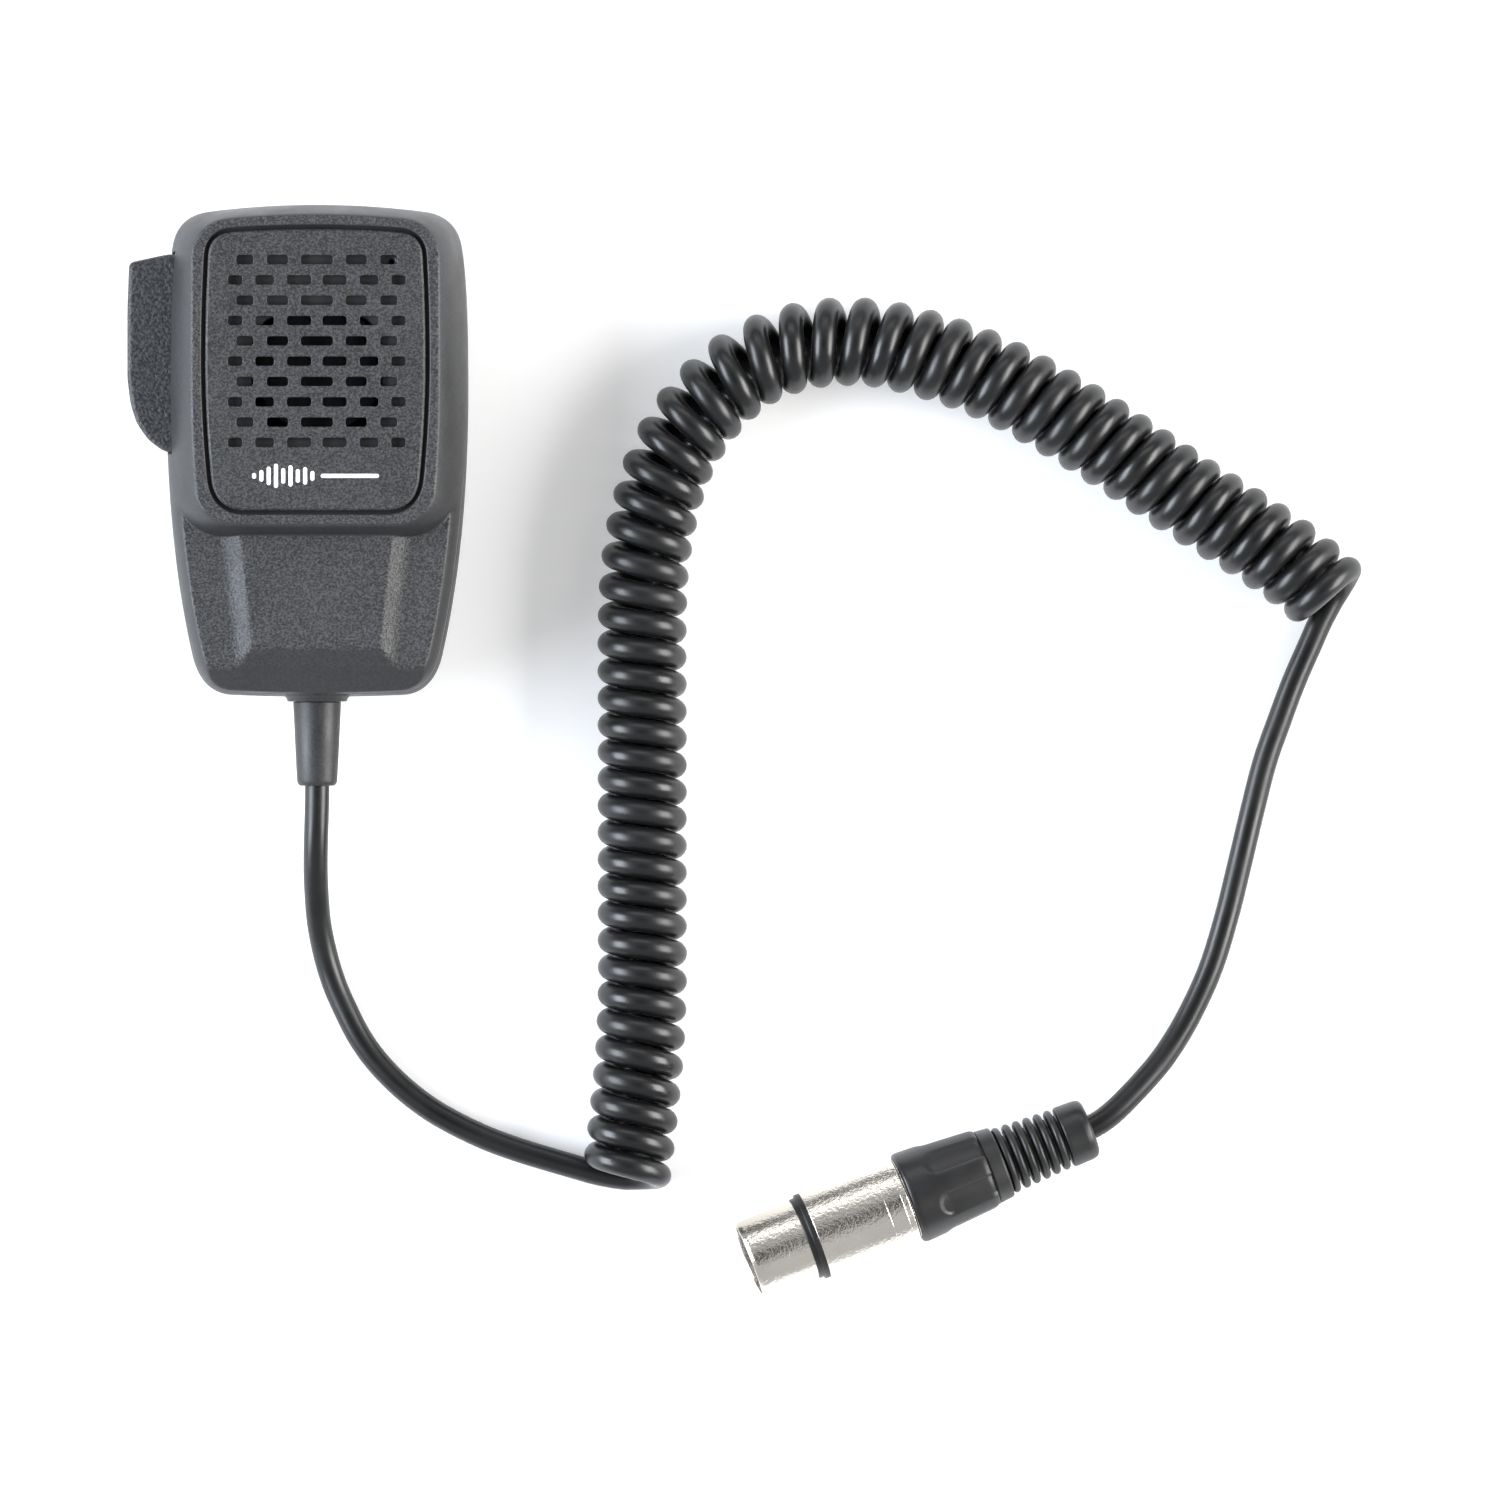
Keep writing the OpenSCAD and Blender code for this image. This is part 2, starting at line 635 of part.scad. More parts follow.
module plug_seal_ring() {
    color("#151515") at_plug() rotate_extrude()
        polygon([[seal_r + snug, ring_s + 0.02], [9.25, ring_s + 0.02], [9.25, ring_s + 1.1],
                 [8.7, ring_s + 1.2], [8.7, barrel_s], [seal_r + snug, barrel_s]]);
}

module contact_ring() {
    for (a = contact_angles) rotate([0, 0, a]) translate([contact_circle_r, 0, 0]) children();
}

module plug_insert() {
    color("#161616") at_plug() difference() {
        union() {
            translate([0, 0, 48]) cylinder(r = 7.5, h = 27.8);
            translate([0, 0, 48]) cylinder(r = 8.1, h = 8);
        }
        contact_ring() translate([0, 0, 40]) cylinder(r = contact_r + snug, h = contact_s[1] + 0.1 - 40);
        contact_ring() translate([0, 0, 40]) cylinder(r = 1.3, h = 40);
        translate([4.25, -latch_half_w - 0.4, latch_s[0] - 0.4])
            cube([6, 2 * latch_half_w + 0.8, latch_s[1] - latch_s[0] + 0.8]);
        translate([2.6, 0, latch_spring_s]) rotate([0, 90, 0]) cylinder(r = 1.3, h = 3);
    }
}

module plug_contacts() {
    color("#d9b75a") at_plug() contact_ring() difference() {
        translate([0, 0, contact_s[0]]) cylinder(r = contact_r, h = contact_s[1] - contact_s[0]);
        translate([0, 0, 62]) cylinder(r = 1.18, h = 20);
    }
}

module plug_conductors() {
    color("#c03028") at_plug() for (a = contact_angles)
        tube([for (p = [[1.2, cord_end_s + 0.05], [1.2, cord_end_s + 0.6], [2.8, cord_end_s + 1.7],
                        [contact_circle_r, contact_s[0] - 0.5], [contact_circle_r, contact_s[0] - 0.02]])
              [p[0] * cos(a), p[0] * sin(a), p[1]]], 0.5, 6, [sin(a), -cos(a), 0]);
}

module plug_latch() {
    depth = latch_x[1] - latch_x[0];
    color("#aaa79f") at_plug() {
        translate([latch_x[0], -latch_half_w, latch_s[0]])
            cube([depth, 2 * latch_half_w, latch_s[1] - latch_s[0]]);
        translate([latch_x[0], -latch_half_w, button_s[0]])
            cube([plug_r + 0.6 - latch_x[0], 2 * latch_half_w, button_s[1] - button_s[0]]);
        translate([0, latch_half_w, 0]) rotate([90, 0, 0]) linear_extrude(2 * latch_half_w)
            polygon([[latch_x[0], hook_s[0]], [barrel_r + 0.6, hook_s[0]], [barrel_r + 0.6, hook_s[0] + 0.6],
                     [7.2, hook_s[1]], [latch_x[0], hook_s[1]]]);
    }
}

module latch_spring() {
    wire_r = 0.15;
    start_x = 2.6 + wire_r + 0.05;
    color("silver") at_plug() translate([start_x, 0, latch_spring_s]) rotate([0, 90, 0])
        tube(helix(1, latch_x[0] - start_x - wire_r - 0.05, 4), wire_r, 6);
}

front_shell();
rear_shell();
grille_insert();
acoustic_cloth();
mic_capsule();
capsule_boot();
capsule_leads();
circuit_board();
board_screws();
switch_body();
switch_plunger();
ptt_lever();
ptt_pivot_pin();
ptt_return_spring();
hang_stud();
hang_stud_screw();
case_screws();
strain_relief();
cable_clamp();
clamp_screws();
cord_conductors();
cord_lead();
cord_curly();
cord_tail();
plug_bend_relief();
plug_collar();
plug_chuck();
plug_shell();
plug_seal_ring();
plug_insert();
plug_contacts();
plug_conductors();
plug_latch();
latch_spring();
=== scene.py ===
import math

import bmesh
import bpy
import numpy as np
from mathutils import Matrix, Vector
from mathutils.geometry import delaunay_2d_cdt


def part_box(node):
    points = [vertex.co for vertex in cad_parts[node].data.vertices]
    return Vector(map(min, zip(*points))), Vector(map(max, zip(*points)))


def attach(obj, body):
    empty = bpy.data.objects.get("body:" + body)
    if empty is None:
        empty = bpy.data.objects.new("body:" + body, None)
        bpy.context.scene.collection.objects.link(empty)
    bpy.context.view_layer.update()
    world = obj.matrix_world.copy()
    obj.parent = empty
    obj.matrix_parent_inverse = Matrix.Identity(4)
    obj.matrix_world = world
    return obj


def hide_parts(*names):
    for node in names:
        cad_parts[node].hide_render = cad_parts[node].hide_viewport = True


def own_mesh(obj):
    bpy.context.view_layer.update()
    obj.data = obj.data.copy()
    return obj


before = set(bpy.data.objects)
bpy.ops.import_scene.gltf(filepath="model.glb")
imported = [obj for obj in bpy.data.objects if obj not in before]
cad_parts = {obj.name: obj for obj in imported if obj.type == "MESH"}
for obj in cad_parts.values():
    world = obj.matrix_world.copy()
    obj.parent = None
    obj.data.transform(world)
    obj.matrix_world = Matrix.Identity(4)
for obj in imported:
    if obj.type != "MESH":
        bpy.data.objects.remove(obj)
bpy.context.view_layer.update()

# The cord, the camera and the lights are in metres. All other sizes are in millimetres, and new_object
# scales their meshes by MM. Housing outlines count x from the housing's centreline, which lies AXIS_X
# to the right of the origin.
MM = 0.001
FAR = 200
front_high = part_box("front_shell")[1] / MM
HALF_W = 31.2
AXIS_X = front_high.x - HALF_W
FRONT_Z = front_high.z
TOP_Y = front_high.y
PARTING_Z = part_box("front_shell")[0].z / MM
ALONG = 720                    # points round a shell

# --- Camera -------------------------------------------------------------------------------------

VIEW_CENTRE = (0.0933, -0.0613)
VIEW_FIELD = 0.3099
CAMERA_HEIGHT = 5.0
FIELD_HEIGHT = 0.015           # the camera sees VIEW_FIELD across at this height
SENSOR_W = 36

camera = bpy.data.objects.new("camera", bpy.data.cameras.new("camera"))
bpy.context.scene.collection.objects.link(camera)
camera.location = (*VIEW_CENTRE, CAMERA_HEIGHT)
camera.data.sensor_width = SENSOR_W
camera.data.lens = SENSOR_W * (CAMERA_HEIGHT - FIELD_HEIGHT) / VIEW_FIELD
camera.data.clip_end = 50
bpy.context.scene.camera = camera
bpy.context.scene.view_settings.view_transform = "Standard"

# --- Mesh helpers -------------------------------------------------------------------------------


def new_object(name, points, faces, smooth=True):
    """A mesh object from points in millimetres in the row frame."""
    mesh = bpy.data.meshes.new(name)
    mesh.from_pydata(np.asarray(points, float) * MM, [], faces)
    mesh.validate()
    mesh.update()
    if smooth:
        mesh.shade_smooth()
    piece = bpy.data.objects.new(name, mesh)
    bpy.context.scene.collection.objects.link(piece)
    return piece


def grid_faces(rings, sides, close_rings=False):
    """Quads between rings of points. Each ring is closed; the last ring may join the first."""
    row = np.arange(rings if close_rings else rings - 1)[:, None]
    column = np.arange(sides)[None, :]
    after = (column + 1) % sides
    a = row * sides + column
    b = row * sides + after
    c = (row + 1) % rings * sides + after
    d = (row + 1) % rings * sides + column
    return np.stack([a, b, c, d], axis=-1).reshape(-1, 4).tolist()


def ring_solid(name, rings):
    """A closed solid whose skin is a chain of rings that ends where it starts."""
    return new_object(name, np.vstack(rings), grid_faces(len(rings), len(rings[0]), True))


def capped_solid(name, rings):
    """A solid whose skin is a chain of rings, closed by a flat face at each end."""
    sides = len(rings[0])
    last = (len(rings) - 1) * sides
    caps = [list(range(sides - 1, -1, -1)), list(range(last, last + sides))]
    return new_object(name, np.vstack(rings), grid_faces(len(rings), sides) + caps)


def apply_modifiers(piece):
    """Turns the piece's modifiers into its mesh."""
    evaluated = piece.evaluated_get(bpy.context.evaluated_depsgraph_get())
    mesh = bpy.data.meshes.new_from_object(evaluated)
    piece.modifiers.clear()
    piece.data = mesh


def combine(piece, tools, operation):
    """Cuts the tools from the piece, or joins them to it, and removes them."""
    for tool in tools:
        step = piece.modifiers.new(tool.name, "BOOLEAN")
        step.operation = operation
        step.solver = "MANIFOLD"
        step.object = tool
    bpy.context.view_layer.update()
    apply_modifiers(piece)
    for tool in tools:
        bpy.data.objects.remove(tool)


def even_normals(piece, sharp):
    """Large faces keep their own direction in the shading, and small rounded edges take up the turn.
    An edge that turns by more than sharp, in degrees, stays sharp."""
    piece.data.set_sharp_from_angle(angle=math.radians(sharp))
    step = piece.modifiers.new("normals", "WEIGHTED_NORMAL")
    step.keep_sharp = True


def box_tool(low, high):
    x0, y0, z0 = low
    x1, y1, z1 = high
    corners = [(x0, y0), (x1, y0), (x1, y1), (x0, y1)]
    return capped_solid("tool", [np.array([(x, y, z) for x, y in corners]) for z in (z0, z1)])


def post_tool(at, z0, z1, radius, sides=48):
    turn = np.linspace(0, 2 * math.pi, sides, endpoint=False)
    circle = np.column_stack([at[0] + AXIS_X + radius * np.cos(turn), at[1] + radius * np.sin(turn)])
    return capped_solid("tool", [np.column_stack([circle, np.full(sides, z)]) for z in (z0, z1)])


def rounded(points, radius, steps=3):
    """A closed profile with each corner rounded, or cut back less where an edge is short."""
    points = np.asarray(points, float)
    result = []
    for i, corner in enumerate(points):
        before, after = points[i - 1] - corner, points[(i + 1) % len(points)] - corner
        lengths = np.linalg.norm(before), np.linalg.norm(after)
        cut = min(radius, 0.45 * lengths[0], 0.45 * lengths[1])
        start, end = corner + before / lengths[0] * cut, corner + after / lengths[1] * cut
        for t in np.linspace(0, 1, steps + 1):
            result.append((1 - t) ** 2 * start + 2 * t * (1 - t) * corner + t * t * end)
    return np.array(result)


def put(points, place):
    """Points moved by a placing matrix."""
    return points @ np.array(place.to_3x3()).T + np.array(place.translation)


def lathe(name, section, place, sides=96, shape=None):
    """A solid turned about the Z axis from a closed section of (radius, height), then put in place.
    shape gives what is added to the radius round the turn."""
    turn = np.linspace(0, 2 * math.pi, sides, endpoint=False)
    rings = []
    for radius, height in section:
        r = radius if shape is None else radius + shape(radius, height, turn)
        ring = np.column_stack([r * np.cos(turn), r * np.sin(turn), np.full(sides, height)])
        rings.append(put(ring, place))
    return ring_solid(name, rings)


def bezier(a, b, c, n=40):
    """Points of a quadratic curve from a towards c, without c itself."""
    a, b, c = np.array(a, float), np.array(b, float), np.array(c, float)
    t = np.linspace(0, 1, n, endpoint=False)[:, None]
    return (1 - t) ** 2 * a + 2 * t * (1 - t) * b + t * t * c


def resample(loop, n):
    """A closed loop as n points with equal steps."""
    closed = np.vstack([loop, loop[:1]])
    reach = np.r_[0, np.cumsum(np.linalg.norm(np.diff(closed, axis=0), axis=1))]
    at = np.linspace(0, reach[-1], n, endpoint=False)
    return np.column_stack([np.interp(at, reach, closed[:, k]) for k in (0, 1)])


def symmetric(*curves):
    """A closed counter-clockwise loop from the curves of its right half, which run from top to bottom."""
    right = np.vstack([bezier(*curve) for curve in curves] + [[curves[-1][-1]]])
    left = right[-2:0:-1] * (-1, 1)
    return np.vstack([right, left])[::-1]


def round_cornered(at, core, radius, steps):
    """Counter-clockwise rectangle about a point. Its corners' centres are core away from the middle."""
    loop = []
    for quarter, sign in enumerate(((1, 1), (-1, 1), (-1, -1), (1, -1))):
        for turn in np.linspace(0, math.pi / 2, steps) + quarter * math.pi / 2:
            loop.append(at + core * sign + radius * np.array([math.cos(turn), math.sin(turn)]))
    return np.array(loop)


def outward(loop):
    """Unit normals of a counter-clockwise loop."""
    along = np.roll(loop, -1, axis=0) - np.roll(loop, 1, axis=0)
    along /= np.linalg.norm(along, axis=1)[:, None]
    return np.column_stack([along[:, 1], -along[:, 0]])


def grown(loop, distance):
    return loop + distance * outward(loop)


def level(loop, z):
    """A loop in the housing's plane as a ring at height z, in the row frame."""
    return np.column_stack([loop[:, 0] + AXIS_X, loop[:, 1], np.broadcast_to(z, len(loop))])


def soft_max(a, b, width):
    """The larger of two heights, with their crossing rounded over the given width."""
    mix = np.clip(0.5 + 0.5 * (a - b) / width, 0, 1)
    return b + (a - b) * mix + width * mix * (1 - mix)


def soft_min(a, b, width):
    return -soft_max(-a, -b, width)


def distance_to(loop, points):
    """Distance from each point to a closed loop."""
    start, step = loop, np.roll(loop, -1, axis=0) - loop
    square = (step ** 2).sum(axis=1)
    result = np.empty(len(points))
    for i in range(0, len(points), 4000):
        to = points[i:i + 4000, None] - start
        t = np.clip((to * step).sum(axis=2) / square, 0, 1)
        result[i:i + 4000] = np.sqrt(((to - t[..., None] * step) ** 2).sum(axis=2).min(axis=1))
    return result


def rounded_box(points, half, low_y, high_y, corner):
    """Distance outside a rectangle with rounded corners; negative inside."""
    centre_y, half_y = (low_y + high_y) / 2, (high_y - low_y) / 2
    x = np.abs(points[:, 0]) - half + corner
    y = np.abs(points[:, 1] - centre_y) - half_y + corner
    outside = np.hypot(np.maximum(x, 0), np.maximum(y, 0))
    return outside + np.minimum(np.maximum(x, y), 0) - corner


# --- Housing outline ----------------------------------------------------------------------------

OUTLINE = resample(symmetric(
    ([0, 51.3], [12, 51.3], [23, 49.8]),
    ([23, 49.8], [28.7, 48.7], [29.8, 43]),
    ([29.8, 43], [31.1, 36], [31.2, 18]),
    ([31.2, 18], [31.6, -16], [26, -41]),
    ([26, -41], [24.3, -49.3], [18, -49.9]),
    ([18, -49.9], [9, -50.3], [0, -50.3])), ALONG)
INSERT = symmetric(
    ([0, 45.9], [9, 45.9], [17, 45.3]),
    ([17, 45.3], [21.8, 45], [22.1, 40.4]),
    ([22.1, 40.4], [22.7, 30], [22.7, 18]),
    ([22.7, 18], [22.6, 6], [21.5, -5]),
    ([21.5, -5], [20.9, -11.9], [14.6, -12]),
    ([14.6, -12], [9, -12], [0, -12]))
COARSE_OUTLINE = OUTLINE[::3]

WALL = 2.2
GROOVE_W = 0.8
POCKET_Z = FRONT_Z - 1.5
CEILING_Z = FRONT_Z - 5
PORT_CORNERS = [(13.6, 28.7), (-13, 28.7), (-13, 4), (13.6, 4)]
PORT_CORNER = 9
FRONT_CENTRE = np.array([0.0, 17.0])
STUD_AT = np.array([0.0, 25.0])
STUD_HOLE_R = 2
REVEAL = 0.15                 # step between the shells' edges
REVEAL_MORE = 0.45            # and what is added to it at the lower end
REVEAL_Y = 6                  # where it starts to grow
REVEAL_SPAN = 24
WINDOW = ((-FAR, -0.2, 12.1), (-27 + AXIS_X, 41.4, 26.9))
CASE_POSTS = [(16.2, 43.5), (-16.2, 43.5), (17, -40), (-17, -40)]
VENT = (15.7, 39.1)
VENT_R = 0.6
BOSS = ((-48, 7.2), (-49.9, 7.1), (-50.35, 6.6), (-50.7, 6.3), (-51.1, 6.2), (-51.3, 6.0))   # y and radius
CABLE_HOLE_R = 4.45
CABLE_HOLE_Y = (-60, -44)
CABLE_HOLE_SIDES = 64


def seen_from(centre, loop):
    """The points of a loop in the same directions from the centre as the outline's points."""
    angle = np.unwrap(np.arctan2(*(loop - centre).T[::-1]))
    reach = np.linalg.norm(loop - centre, axis=1)
    angle, reach = np.r_[angle - 2 * math.pi, angle, angle + 2 * math.pi], np.tile(reach, 3)
    wanted = np.arctan2(*(OUTLINE - centre).T[::-1])
    middle = angle[len(loop):2 * len(loop)]
    wanted = middle.min() + (wanted - middle.min()) % (2 * math.pi)
    distance = np.interp(wanted, angle, reach)
    return centre + distance[:, None] * np.column_stack([np.cos(wanted), np.sin(wanted)])


def reveal(loop):
    """How far the front shell's edge stands back from the rear shell's: more at the lower end."""
    low = np.clip((REVEAL_Y - loop[:, 1:]) / REVEAL_SPAN, 0, 1)
    return REVEAL + REVEAL_MORE * low * low * (3 - 2 * low)


def circle_round(centre, radius):
    turn = np.linspace(0, 2 * math.pi, ALONG, endpoint=False)
    return seen_from(centre, centre + radius * np.column_stack([np.cos(turn), np.sin(turn)]))


def profile(points):
    """A height that follows a quadratic curve through (distance, height) points a, b and c."""
    table = np.vstack([bezier(*points, n=80), points[2]])
    return lambda at: np.interp(at, table[:, 0], table[:, 1])


# --- Front shell --------------------------------------------------------------------------------

STEP_Y = -18.3
STEP_CORNER = 9.5
RING_HALF_W = 25.4
RING_LOW_Y = -15.0
RING_HIGH_Y = 48.9
RING_CORNER = 7
RING_ARCH = 0.0028            # the top edge of the raised face bows like the outline
RING_TAPER = 0.0018           # and its sides draw in below this height
RING_TAPER_Y = 14
LOWER_Z = 28.7
LOWER_END_Y = -44.3
PANEL_Z = 30.5
PANEL_END_Y = -39.7
PANEL_HALF_W = 13.1           # at PANEL_FOOT_Y, and wider above it by PANEL_SPREAD
PANEL_FOOT_Y = -39.8
PANEL_SPREAD = 0.112
PANEL_END_SLOPE = 0.39
FACET_SLOPE = 0.53
END_SLOPE = 0.62
OUTSIDE_Z = 20                # what the raised face's profile drops to beyond its foot
upper_slope = profile([(0, FRONT_Z), (0.72, FRONT_Z - 4.6), (1, FRONT_Z - 15)])
SIDE_BAND = 2.6
lower_side = profile([(0, 20.5), (0.5, 26.6), (SIDE_BAND, LOWER_Z)])


def front_height(points):
    """Height of the front shell's outer face above each point."""
    x, y = points[:, 0], points[:, 1]
    inset = distance_to(COARSE_OUTLINE, points)
    above_step = y - STEP_Y
    round_corner = STEP_CORNER - np.hypot(np.maximum(STEP_CORNER - inset, 0),
                                          np.maximum(STEP_CORNER - above_step, 0))
    nearest = np.minimum(round_corner, np.minimum(inset, above_step))
    upper_inset = np.where(above_step > 0, nearest, above_step)
    tapered = np.abs(x) + RING_TAPER * np.maximum(RING_TAPER_Y - y, 0) ** 2
    arched = np.column_stack([tapered, y + np.where(y > 0, RING_ARCH * x ** 2, 0)])
    beyond = soft_max(rounded_box(arched, RING_HALF_W, RING_LOW_Y, RING_HIGH_Y, RING_CORNER), 0, 0.4)
    share = beyond / np.maximum(beyond + upper_inset, 0.01)
    upper = np.where(upper_inset > 0, upper_slope(np.clip(share, 0, 1)), OUTSIDE_Z)

    panel_edge = PANEL_HALF_W + (y - PANEL_FOOT_Y) * PANEL_SPREAD
    panel_end = soft_min(PANEL_Z - PANEL_END_SLOPE * (PANEL_END_Y - y), PANEL_Z, 0.4)
    facet = PANEL_Z - (np.abs(x) - panel_edge) * FACET_SLOPE
    lower = soft_max(soft_min(panel_end, facet, 0.25), LOWER_Z, 0.7)
    end_slope = LOWER_Z - END_SLOPE * (LOWER_END_Y - y)
    side = lower_side(inset) + np.maximum(inset - SIDE_BAND, 0)
    lower = soft_min(soft_min(lower, end_slope, 0.9), side, 0.3)
    return soft_max(upper, lower, 1.2)


FRONT_POST_R = 3.2
FRONT_POST_TOP = (31.5, 26.8)  # of the posts at the upper end and at the lower end
FRONT_BORE_TOP = (28.5, 24)
FRONT_BORE_R = 1.5


def by_end(at, heights):
    """The first height for a post at the upper end, and the second for one at the lower end."""
    return heights[0] if at[1] > 0 else heights[1]


def front_rings():
    pocket = seen_from(FRONT_CENTRE, grown(resample(INSERT, ALONG), GROOVE_W))
    port = seen_from(FRONT_CENTRE, resample(rounded(PORT_CORNERS, PORT_CORNER, 12), ALONG))
    rim = grown(pocket, 0.4)
    back = reveal(OUTLINE)
    wall = grown(OUTLINE, -back)
    rings = [level(grown(wall, -0.25), PARTING_Z), level(grown(wall, -0.06), PARTING_Z + 0.08),
             level(wall, PARTING_Z + 0.3), level(wall, 18.0), level(wall, 20.5)]
    edge = [grown(OUTLINE, -back - d) for d in (0.02, 0.08, 0.16, 0.26, 0.38, 0.52, 0.68, 0.86)]
    shares = np.linspace(0, 1, 120)[1:]
    top = edge + [edge[-1] + share * (rim - edge[-1]) for share in shares]
    heights = front_height(np.vstack(top)).reshape(len(top), -1)
    rings += [level(loop, z) for loop, z in zip(top, heights)]
    rings += [level(grown(pocket, out), FRONT_Z - down)
              for out, down in ((0.24, 0.03), (0.1, 0.11), (0.02, 0.25), (0, 0.4), (0, 1.0))]
    rings += [level(pocket, POCKET_Z + 0.1), level(grown(pocket, -0.1), POCKET_Z)]
    rings += [level(pocket + share * (port - pocket), POCKET_Z) for share in (0.3, 0.6, 0.97)]
    rings += [level(port, POCKET_Z - 0.2), level(port, CEILING_Z)]
    inner = grown(OUTLINE, -WALL - back)
    under = [port + share * (inner - port) for share in np.linspace(0, 1, 40)[1:]]
    cover = [port + share * (grown(OUTLINE, -back - 0.4) - port) for share in np.linspace(0, 1, 40)[1:]]
    heights = front_height(np.vstack(cover)).reshape(len(cover), -1) - WALL
    rings += [level(loop, np.minimum(z, CEILING_Z)) for loop, z in zip(under, heights)]
    rings += [level(inner, PARTING_Z)]
    return rings


def cable_boss(front):
    """The flared half ring round the cable hole."""
    turn = np.linspace(0, math.pi, 33) if front else np.linspace(math.pi, 2 * math.pi, 33)
    rings = []
    for y, r in BOSS:
        arc = [(AXIS_X + r * math.cos(a), y, PARTING_Z + r * math.sin(a)) for a in turn]
        rings.append(np.array(arc))
    return capped_solid("tool", rings)


def cable_hole():
    turn = np.linspace(0, 2 * math.pi, CABLE_HOLE_SIDES, endpoint=False)
    x = AXIS_X + CABLE_HOLE_R * np.cos(turn)
    z = PARTING_Z + CABLE_HOLE_R * np.sin(turn)
    return capped_solid("tool", [np.column_stack([x, np.full(CABLE_HOLE_SIDES, y), z]) for y in CABLE_HOLE_Y])


def make_front_shell():
    shell = ring_solid("front_shell_skin", front_rings())
    shell.data.flip_normals()
    posts = [post_tool(at, PARTING_Z + 0.2, by_end(at, FRONT_POST_TOP), FRONT_POST_R) for at in CASE_POSTS]
    combine(shell, posts, "UNION")
    combine(shell, [cable_boss(True)], "UNION")
    cuts = [box_tool(*WINDOW), cable_hole(), post_tool(VENT, CEILING_Z - 1, FRONT_Z - 1, VENT_R, 24)]
    cuts += [post_tool(at, 10, by_end(at, FRONT_BORE_TOP), FRONT_BORE_R, 24) for at in CASE_POSTS]
    combine(shell, cuts, "DIFFERENCE")
    return shell


# --- Rear shell ---------------------------------------------------------------------------------

BACK_Z = 5
back_side = profile([(0, 12), (0.6, 5.7), (5, BACK_Z)])
SWELL = (14, -40.5, -15, 8)    # the part that rests on the table: half width, both ends, corner radius
SWELL_RISE = 0.076
LEVER_PIN = (-26.2, 3)
REAR_POST_R = 4.6
BOARD_POSTS = ((11, 24), (-19, -15), (11, -15))
BOARD_POST_R = 2.4
PIN_POST_R = 2.8
PIN_HOLE_R = 1.52
CLAMP_SEAT = ((AXIS_X - 9.5, -42, 6), (AXIS_X + 9.5, -37, 14.9))
SCREW_HEAD_R = 3.2
SCREW_HEAD_Z = 8.4
SCREW_R = 1.7


def rear_height(points):
    inset = distance_to(COARSE_OUTLINE, points)
    swell = np.maximum(rounded_box(points, *SWELL), 0)
    return soft_min(back_side(inset), SWELL_RISE * swell ** 2, 0.9)


def rear_rings():
    hole = circle_round(STUD_AT, STUD_HOLE_R)
    edge = [grown(OUTLINE, -d) for d in (0.02, 0.08, 0.16, 0.28, 0.42, 0.6, 0.85, 1.2)]
    back = reveal(OUTLINE)
    rings = [level(grown(OUTLINE, -share * back), z)
             for share, z in ((1.4, PARTING_Z), (1, 14.95), (0.86, 14.8), (0.72, 14.3), (0.4, 13.2), (0, 12))]
    bottom = edge + [edge[-1] + share * (hole - edge[-1]) for share in np.linspace(0, 1, 130)[1:]]
    heights = rear_height(np.vstack(bottom)).reshape(len(bottom), -1)
    rings += [level(loop, z) for loop, z in zip(bottom, heights)]
    inner = grown(OUTLINE, -WALL)
    inside = [hole + share * (inner - hole) for share in np.linspace(0, 1, 50)]
    cover = [hole + share * (grown(OUTLINE, -0.3) - hole) for share in np.linspace(0, 1, 50)]
    heights = rear_height(np.vstack(cover)).reshape(len(inside), -1) + WALL
    rings += [level(loop, z) for loop, z in zip(inside, heights)]
    rings += [level(inner, PARTING_Z)]
    return rings


def make_rear_shell():
    shell = ring_solid("rear_shell_skin", rear_rings())
    posts = [post_tool(at, 6, PARTING_Z, REAR_POST_R) for at in CASE_POSTS]
    posts += [post_tool(at, 6.6, 10, BOARD_POST_R) for at in BOARD_POSTS]
    posts += [post_tool(LEVER_PIN, 6.6, 12.1, PIN_POST_R)]
    combine(shell, posts, "UNION")
    combine(shell, [cable_boss(False), box_tool(*CLAMP_SEAT)], "UNION")
    cuts = [box_tool(*WINDOW), cable_hole()]
    cuts += [post_tool(at, -1, SCREW_HEAD_Z, SCREW_HEAD_R, 64) for at in CASE_POSTS]
    cuts += [post_tool(at, 0, 40, SCREW_R, 32) for at in CASE_POSTS]
    cuts += [post_tool(LEVER_PIN, 9.4, 40, PIN_HOLE_R, 32)]
    combine(shell, cuts, "DIFFERENCE")
    return shell


# --- Grille insert ------------------------------------------------------------------------------

INSERT_T = 1.4
SLOT_H = 1.9
SLOT_PITCH = 4.18
SLOT_ROWS = 10
FIRST_ROW_Y = 39.6
PATTERN_X = 0.3
LONG_ROW = ((0, 6.6), (8.1, 4.35), (14.8, 3.5))
SHORT_ROW = ((3.65, 5), (10.75, 3.85), (16.8, 2.95))
SLOT_CORNER = 0.6
EDGE_R = 0.16
CHAMFER = (0.5, 0.3)          # width and depth of the bevel round the insert


def slots():
    """Centre and half size of each slot."""
    found = []
    for row in range(SLOT_ROWS):
        for centre, width in (SHORT_ROW if row % 2 else LONG_ROW):
            for side in ((-1, 1) if centre else (1,)):
                at = np.array([PATTERN_X + side * centre, FIRST_ROW_Y - row * SLOT_PITCH])
                found.append((at, np.array([width, SLOT_H]) / 2))
    return found


